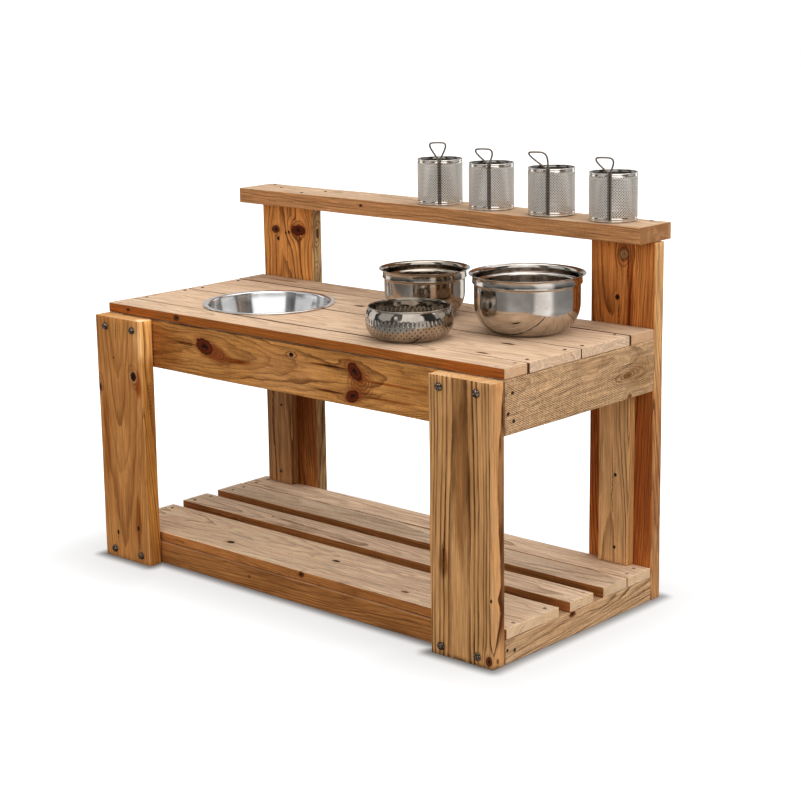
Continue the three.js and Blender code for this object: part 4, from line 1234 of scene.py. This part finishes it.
class KITCHEN_OT_hammered_bowl(bpy.types.Operator):
    """Makes the hammered bowl"""

    bl_idname = "mud_kitchen.hammered_bowl"
    bl_label = "Make Hammered Bowl"

    def execute(self, context):
        node = "hammered_bowl"
        x, y, low, high = box_centre(node)
        belly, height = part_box(node)[1][0] - x, high - low
        outer = evenly(hammered_line(belly, height), HAMMER_STEP)
        points, quads, fans = revolve(shell(outer, BOWL_WALL), HAMMER_SEGMENTS)
        out = np.hypot(points[:, 0], points[:, 1])
        turn = np.arctan2(points[:, 1], points[:, 0])
        dents, pits = hammer_dents(turn, points[:, 2] / height)
        inward = np.stack([-points[:, 0], -points[:, 1], 0.5 * (0.5 * height - points[:, 2])], -1)
        inward /= np.maximum(np.linalg.norm(inward, axis=1, keepdims=True), 1e-9)
        share = np.clip((out - 0.3 * belly) / (0.2 * belly), 0, 1)
        points = points + inward * (dents * MM * share)[:, None]
        mesh = make_mesh(node, points + np.array([x, y, low]), quads, fans)
        point_attribute(mesh, "pits", np.repeat((pits * share)[:, None], 3, 1))
        material = bowl_steel(node, context.scene.mud_steel, 0.16, "pits")
        finish_piece("hammered_bowl_shell", mesh, material, node, [node])
        return {"FINISHED"}


# Baskets

BASKET_WALL = 0.7 * MM
BAND_HEIGHT = 9.5 * MM
BAND_INSET = 0.7 * MM
BEAD_RADIUS = 1.3 * MM
BEAD_PROUD = 0.1 * MM
# The pan's floor: its two levels above the foot, and the hair's breadth it keeps off its own axis.
PAN_LIFT = 0.5 * MM
PAN_TOP = 1.2 * MM
AXIS_GAP = 0.001 * MM
BASKET_SEGMENTS = 96
STRANDS = 54
STRAND_HALF_WIDTH = 0.86 * MM
STRAND_HALF_DEPTH = 0.3 * MM
WEAVE_DEPTH = 0.28 * MM
STRAND_STEPS = 66
WIRE_RADIUS = 1.75 * MM
WIRE_GAP = 0.3 * MM
LOOP_WIDTH = 31 * MM
LOOP_CORNER = 9 * MM
# How far the loop's top stays under its solid's.
CREST_DROP = 0.7 * MM
# The way that each basket's handle faces, in radians, how far its loop rises above the rim in
# millimetres, and how far it leans aside for each millimetre of that.
BASKETS = [(0.68, 35, -0.1), (0.58, 30, -0.4), (0.5, 32, -0.72), (0.47, 30, -0.38)]


class BasketSettings(bpy.types.PropertyGroup):
    """Finish of the wire baskets."""

    wire: FloatVectorProperty(name="Wire", description="Colour of the wire and the bands", size=3,
                              subtype="COLOR", default=srgb(232, 226, 218), min=0, max=1)
    handle: FloatVectorProperty(name="Handle", description="Colour of the handles' wire", size=3,
                                subtype="COLOR", default=srgb(132, 120, 110), min=0, max=1)
    gloss: FloatProperty(name="Smoothest", description="Roughness of the cleanest wire", default=0.16,
                         min=0, max=1, subtype="FACTOR")


def band_profile(radius, foot, head, bead_level):
    """A plain strip and the bead rolled along one edge, as closed rings of radius and height."""
    turn = np.linspace(-0.5 * np.pi, 1.5 * np.pi, 13)[:-1]
    out = radius + BAND_INSET + BEAD_PROUD - BEAD_RADIUS
    bead = np.stack([out + BEAD_RADIUS * np.cos(turn), bead_level + BEAD_RADIUS * np.sin(turn)], -1)
    inner = radius - BASKET_WALL
    strip = np.array([[inner, foot], [radius, foot], [radius, head], [inner, head]])
    return bead, strip


def ring_solid(profile, segments):
    """A closed profile turned round the Z axis into a ring."""
    points = ring_points(profile, segments)
    return points, grid_faces(len(profile) + 1, segments) % len(points)


def joined(*solids):
    """Several sets of points and quads as one set."""
    starts = np.cumsum([0] + [len(points) for points, _ in solids])
    return (np.concatenate([points for points, _ in solids]),
            np.concatenate([faces + start for (_, faces), start in zip(solids, starts)]))


def strand_solid(first_turn, way, radius, foot, head):
    """One strand of the weave: a flat strip on a helix, t = t0 + w z / R, that passes over and under.

    Its radius is R + d cos(pi n), where n counts the strands that it has crossed.
    """
    z = np.linspace(foot, head, STRAND_STEPS + 1)
    turn = first_turn + way * (z - foot) / radius
    crossings = 2 * STRANDS * (z - foot) / (2 * np.pi * radius)
    lift = radius + way * WEAVE_DEPTH * np.cos(np.pi * crossings)
    sides = []
    for across, deep in ((-1, -1), (1, -1), (1, 1), (-1, 1)):
        at = turn - way * across * STRAND_HALF_WIDTH * math.sqrt(0.5) / radius
        out = lift + deep * STRAND_HALF_DEPTH
        level = z + across * STRAND_HALF_WIDTH * math.sqrt(0.5)
        sides.append(np.stack([out * np.cos(at), out * np.sin(at), level], -1))
    return np.stack(sides, 1)


def weave(radius, foot, head):
    """Two families of strands round a basket, one leaning each way, as points and quads."""
    sides, last = 4, 4 * STRAND_STEPS
    ends = np.array([[3, 2, 1, 0], [last, last + 1, last + 2, last + 3]])
    unit = np.concatenate([grid_faces(STRAND_STEPS + 1, sides), ends])
    return joined(*(
        (strand_solid(2 * np.pi * number / STRANDS, way, radius, foot, head).reshape(-1, 3), faces)
        for way, faces in ((-1, unit), (1, unit[:, ::-1])) for number in range(STRANDS)))


def handle_path(radius, height, rise, lean):
    """The handle's wire: up the mesh, out round a leaning loop and down again beside itself."""
    out = -(radius + WIRE_RADIUS)
    half = WIRE_RADIUS + WIRE_GAP / 2
    wide = LOOP_WIDTH / 2
    crest = height + rise - CREST_DROP
    shoulder = crest - LOOP_CORNER

    def at(x, z):
        return np.array([x + lean * max(z - height, 0), out, z])

    def side(way):
        leg = np.stack([at(way * half, z) for z in np.linspace(2 * WIRE_RADIUS, height, 12)])
        loop = np.stack([at(way * half, height + 2 * MM), at(way * wide, shoulder),
                         at(way * (wide - MM), crest - MM), at(way * (wide - LOOP_CORNER), crest),
                         at(0, crest)])
        return np.concatenate([leg[:-1], cut_corners(np.concatenate([leg[-1:], loop]), 3)])

    return np.concatenate([side(-1), side(1)[::-1][1:]])


class KITCHEN_OT_baskets(bpy.types.Operator):
    """Makes the four wire baskets"""

    bl_idname = "mud_kitchen.baskets"
    bl_label = "Make Baskets"

    def execute(self, context):
        settings = context.scene.mud_baskets
        for number, (turn, rise, lean) in enumerate(BASKETS, 1):
            self.make(f"basket_{number}", turn, rise * MM, lean, settings)
        return {"FINISHED"}

    def make(self, body, turn, rise, lean, settings):
        """Makes one basket's pan, band, mesh and handle, at the place of its solids."""
        x, y, low, _ = box_centre(body + "_base_pan")
        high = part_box(body + "_top_band")[1][2]
        mesh_low, mesh_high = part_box(body + "_mesh")
        radius = (mesh_high[1] - mesh_low[1]) / 2
        height = high - low
        band = radius - BAND_INSET
        place, middle = (x, y, low), (x, y, (low + high) / 2)
        wire, dark_wire = settings.wire, settings.handle
        # Painted shade: the mesh and the plate are darker on their faces that look inwards.
        metal = spun_material(body + "_metal", middle, 0.3, 0.4, wire, wire, inside=0.16)
        dark = spun_material(body + "_dark_metal", place, settings.gloss, 0.3, dark_wire, dark_wire)
        plate = spun_material(body + "_plate", middle, 0.08, 0.12, wire, wire, inside=0.4)

        disc = np.array([[AXIS_GAP, PAN_LIFT], [band, PAN_LIFT], [band, PAN_TOP], [AXIS_GAP, PAN_TOP]])
        pan = (*band_profile(band, PAN_LIFT, BAND_HEIGHT, BEAD_RADIUS), disc)
        top = band_profile(band, height - BAND_HEIGHT, height - BEAD_RADIUS, height - BEAD_RADIUS)
        for part, profiles in (("base_pan", pan), ("top_band", top)):
            solid = joined(*(ring_solid(profile, BASKET_SEGMENTS) for profile in profiles))
            self.put(body, part, solid, turn, place, plate)
        foot = BAND_HEIGHT - 1.5 * MM
        sleeve = weave(radius - WEAVE_DEPTH - STRAND_HALF_DEPTH, foot, height - foot)
        self.put(body, "mesh", sleeve, turn, place, metal)

        path = evenly(handle_path(radius, height, rise, lean), 1.6 * MM)
        points, quads, caps = tube(path, WIRE_RADIUS, 10, np.array([0.0, 1.0, 0.0]))
        mesh = make_mesh(body + "_wire", turned(points, turn, place), quads, caps)
        finish_piece(body + "_handle_wire", mesh, dark, body, [body + "_handle"])

    def put(self, body, part, solid, turn, place, metal):
        """Turns one part of a basket, moves it to its place and makes it a piece."""
        points, faces = solid
        node = f"{body}_{part}"
        mesh = make_mesh(node, turned(points, turn, place), faces)
        finish_piece(node + "_steel", mesh, metal, body, [node])


# Stage

LENS = 85.13
SENSOR = 36.0
CAMERA_PLACE = (2383.84 * MM, -2567.19 * MM, 1167.70 * MM)
CAMERA_YAW = 0.74125
CAMERA_PITCH = 0.21065
CAMERA_ROLL = -0.01615
CAMERA_SHIFT = (20.0 / 801, -40.0 / 801)
# Each soft box that metal reflects: the way to it in radians, half its width, its soft edge, its strength
# and its lowest and highest level, as the height of a way of length 1.
SOFT_BOXES = ((-0.26, 0.22, 0.2, 0.72, -1.1, 0.06), (-0.76, 0.56, 0.08, 1.3, 0.06, 2.0),
              (-1.1, 0.35, 0.2, 0.12, -1.1, 2.0), (-2.08, 0.32, 0.06, 0.6, 0.06, 2.0),
              (0.78, 0.31, 0.06, 0.5, 0.06, 2.0), (1.45, 0.14, 0.1, 1.0, -0.3, 2.0),
              (-2.95, 0.14, 0.12, 1.0, -1.1, 2.0), (2.3, 0.5, 0.3, 0.5, 0.0, 2.0))
BOX_EDGE = 0.08
DARK_STUDIO = 0.06
# The lamps: name, place, side in metres, the setting of its power, and whether metal sees it.
LAMPS = (("top_lamp", (0.3, 0.7, 3.2), 3.0, "top_light", True),
         ("right_lamp", (3.4, 0.2, 1.9), 1.8, "right_light", False),
         ("fill_lamp", (0.4, -3.6, 1.5), 2.0, "fill_light", False))
LAMP_TARGET = Vector((0, 0, 0.4))
FLOOR_REACH = 14.0
FLOOR_SHADE = (0.34, 0.34, 0.34, 1)
# The solids that stand on the floor: each group's boxes together are one part of its footprint.
FOOTPRINT = (("lower_side_rail_left", "lower_side_rail_right"), ("front_leg_left",), ("front_leg_right",),
             ("rear_post_left",), ("rear_post_right",))


class StageSettings(bpy.types.PropertyGroup):
    """Light and floor."""

    top_light: FloatProperty(name="Top Light", description="Power of the large lamp overhead", default=42.0,
                             min=0)
    right_light: FloatProperty(name="Right Light", description="Power of the lamp at the right",
                               default=42.0, min=0)
    fill_light: FloatProperty(name="Fill Light", description="Power of the lamp beside the camera",
                              default=19.0, min=0)
    ambient: FloatProperty(name="Ambient", description="Strength of the light from all round", default=0.62,
                           min=0)


def build_studio_group():
    """The soft boxes round the object, by the way that a mirror looks: each has soft edges all round."""
    g, i, o = start_group("studio_boxes", {"Way": ORIGIN}, {"Strength": 0.0})
    x, y, z = g.split(i["Way"])
    turn = g.math("ARCTAN2", y, x)
    boxes = 0.0
    for middle, half, soft, strength, foot, head in SOFT_BOXES:
        away = abs(turn - middle)
        away = g.math("MINIMUM", away, 2 * math.pi - away)
        box = g.span(away, half, half + soft, strength, 0.0) * g.span(z, foot, foot + BOX_EDGE)
        boxes = g.math("MAXIMUM", boxes, box * g.span(z, head, head + BOX_EDGE, 1.0, 0.0))
    g.feed(o["Strength"], boxes)


class KITCHEN_OT_stage(bpy.types.Operator):
    """Makes the floor, the lamps and the camera"""

    bl_idname = "mud_kitchen.stage"
    bl_label = "Make Stage"

    def execute(self, context):
        settings = context.scene.mud_stage
        build_studio_group()
        self.make_camera(context.scene)
        self.make_floor()
        self.make_world(context.scene, settings.ambient)
        for name, place, side, setting, is_mirrored in LAMPS:
            self.make_lamp(name, Vector(place), side, getattr(settings, setting), is_mirrored)
        return {"FINISHED"}

    def make_camera(self, scene):
        """Looks along the yaw and pitch, turned by the roll about that line."""
        cos_yaw, sin_yaw = math.cos(CAMERA_YAW), math.sin(CAMERA_YAW)
        cos_pitch, sin_pitch = math.cos(CAMERA_PITCH), math.sin(CAMERA_PITCH)
        forward = Vector((-sin_yaw * cos_pitch, cos_yaw * cos_pitch, -sin_pitch))
        right = Vector((cos_yaw, sin_yaw, 0))
        up = right.cross(forward)
        cos_roll, sin_roll = math.cos(CAMERA_ROLL), math.sin(CAMERA_ROLL)
        level = cos_roll * right + sin_roll * up
        upright = -sin_roll * right + cos_roll * up
        turn = Matrix((level, upright, -forward)).transposed().to_4x4()
        data = bpy.data.cameras.new("camera")
        data.sensor_width, data.lens = SENSOR, LENS
        data.shift_x, data.shift_y = CAMERA_SHIFT
        camera = bpy.data.objects.new("camera", data)
        camera.matrix_world = Matrix.Translation(CAMERA_PLACE) @ turn
        scene.collection.objects.link(camera)
        scene.camera = camera

    def make_floor(self):
        """A white floor that keeps the shadow.

        Camera and gloss rays also see a glow of its own. It grows with the distance outside the
        footprint of rails, legs and posts: from none at its edge, over the reach of the soft shadow,
        to full white, so that the floor is painted darker round the footprint: a painted shadow beside
        the one the lamps cast. Metal sees it brighter where the studio's soft boxes stand.
        """
        side = np.array([[-1, -1, 0], [1, -1, 0], [1, 1, 0], [-1, 1, 0]])
        mesh = make_mesh("floor", FLOOR_REACH * side, np.array([[0, 1, 2, 3]]))
        material, g, shader = start_material("floor", Base_Color=FLOOR_SHADE, Roughness=0.9,
                                             Specular_IOR_Level=0.0)
        x, y, _ = g.split(g.coordinates())
        away = FLOOR_REACH
        for nodes in FOOTPRINT:
            corners = np.array([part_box(node) for node in nodes])
            low, high = corners.min(axis=(0, 1)), corners.max(axis=(0, 1))
            beyond = [g.math("MAXIMUM", abs(part - (low[k] + high[k]) / 2) - (high[k] - low[k]) / 2, 0.0)
                      for k, part in enumerate((x, y))]
            away = g.math("MINIMUM", away, g.vector("LENGTH", g.join(*beyond, 0.0)))
        # Painted shadow: the glow is low near the footprint and rises outwards.
        near = g.span(away, 0.0, 0.03, 0.0, 0.58)
        far = g.span(away, 0.01, 0.4, 0.05, 0.6)
        path = g.outs(g.add("ShaderNodeLightPath"))
        boxes = use_group(g, "studio_boxes", Way=g.join(x, y, -0.2))["Strength"]
        seen = path["Is Camera Ray"] + path["Is Glossy Ray"] * boxes
        glow = g.out(0, "ShaderNodeEmission", {"Strength": seen * (near + far)})
        both = g.out(0, "ShaderNodeAddShader", {0: Wire(g, shader.outputs[0]), 1: glow})
        g.feed(material.node_tree.nodes["Material Output"].inputs["Surface"], both)
        floor = bpy.data.objects.new("floor", mesh)
        bpy.context.scene.collection.objects.link(floor)
        mesh.materials.append(material)

    def make_world(self, scene, ambient):
        """White to the camera, soft light to matt surfaces, and a studio of soft boxes to metal."""
        world = bpy.data.worlds.new("studio")
        world.use_nodes = True
        scene.world = world
        g = Graph(world.node_tree)
        background = world.node_tree.nodes["Background"]
        path = g.outs(g.add("ShaderNodeLightPath"))
        way = g.coordinates("Generated")
        boxes = use_group(g, "studio_boxes", Way=way)["Strength"]
        overhead = g.span(g.split(way)[2], 0.80, 0.93)
        studio = g.math("MAXIMUM", boxes, overhead) + DARK_STUDIO
        glossy, seen = path["Is Glossy Ray"], path["Is Camera Ray"]
        strength = glossy * studio + (1.0 - glossy) * ambient
        background.inputs["Color"].default_value = (1, 1, 1, 1)
        g.feed(background.inputs["Strength"], seen + (1.0 - seen) * strength)

    def make_lamp(self, name, place, side, power, is_mirrored):
        """A square soft box at a place, turned to the object. Metal sees it only where it is mirrored."""
        data = bpy.data.lights.new(name, "AREA")
        data.size, data.energy = side, power
        lamp = bpy.data.objects.new(name, data)
        aim = (LAMP_TARGET - place).to_track_quat("-Z", "Y").to_matrix().to_4x4()
        lamp.matrix_world = Matrix.Translation(place) @ aim
        lamp.visible_glossy = is_mirrored
        bpy.context.scene.collection.objects.link(lamp)


class KITCHEN_PT_panel(bpy.types.Panel):
    """Lists the steps that dress the mud kitchen"""

    bl_idname = "KITCHEN_PT_panel"
    bl_label = "Mud Kitchen"
    bl_space_type = "VIEW_3D"
    bl_region_type = "UI"
    bl_category = "Mud Kitchen"

    def draw(self, context):
        for operator in OPERATORS:
            self.layout.operator(operator.bl_idname)
        for name in SETTINGS:
            settings = getattr(context.scene, name)
            for key in settings.__annotations__:
                self.layout.prop(settings, key)


SETTINGS = {"mud_timber": TimberSettings, "mud_steel": SteelSettings, "mud_baskets": BasketSettings,
            "mud_stage": StageSettings}
OPERATORS = (KITCHEN_OT_stage, KITCHEN_OT_timbers, KITCHEN_OT_coach_screws, KITCHEN_OT_wood_screws,
             KITCHEN_OT_sink, KITCHEN_OT_mixing_bowls, KITCHEN_OT_hammered_bowl, KITCHEN_OT_baskets)
CLASSES = (*SETTINGS.values(), *OPERATORS, KITCHEN_PT_panel)


def register():
    """Registers the classes and hangs the settings on the scene."""
    for item in CLASSES:
        bpy.utils.register_class(item)
    for name, settings in SETTINGS.items():
        setattr(bpy.types.Scene, name, PointerProperty(type=settings))


def unregister():
    """Takes the settings off the scene and unregisters the classes."""
    for name in SETTINGS:
        delattr(bpy.types.Scene, name)
    for item in reversed(CLASSES):
        bpy.utils.unregister_class(item)


def main():
    """Registers the add-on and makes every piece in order."""
    register()
    scene = bpy.context.scene
    scene.view_settings.view_transform = "Standard"
    build_spun_group()
    for operator in OPERATORS:
        group, name = operator.bl_idname.split(".")
        getattr(getattr(bpy.ops, group), name)()


if __name__ == "__main__":
    main()
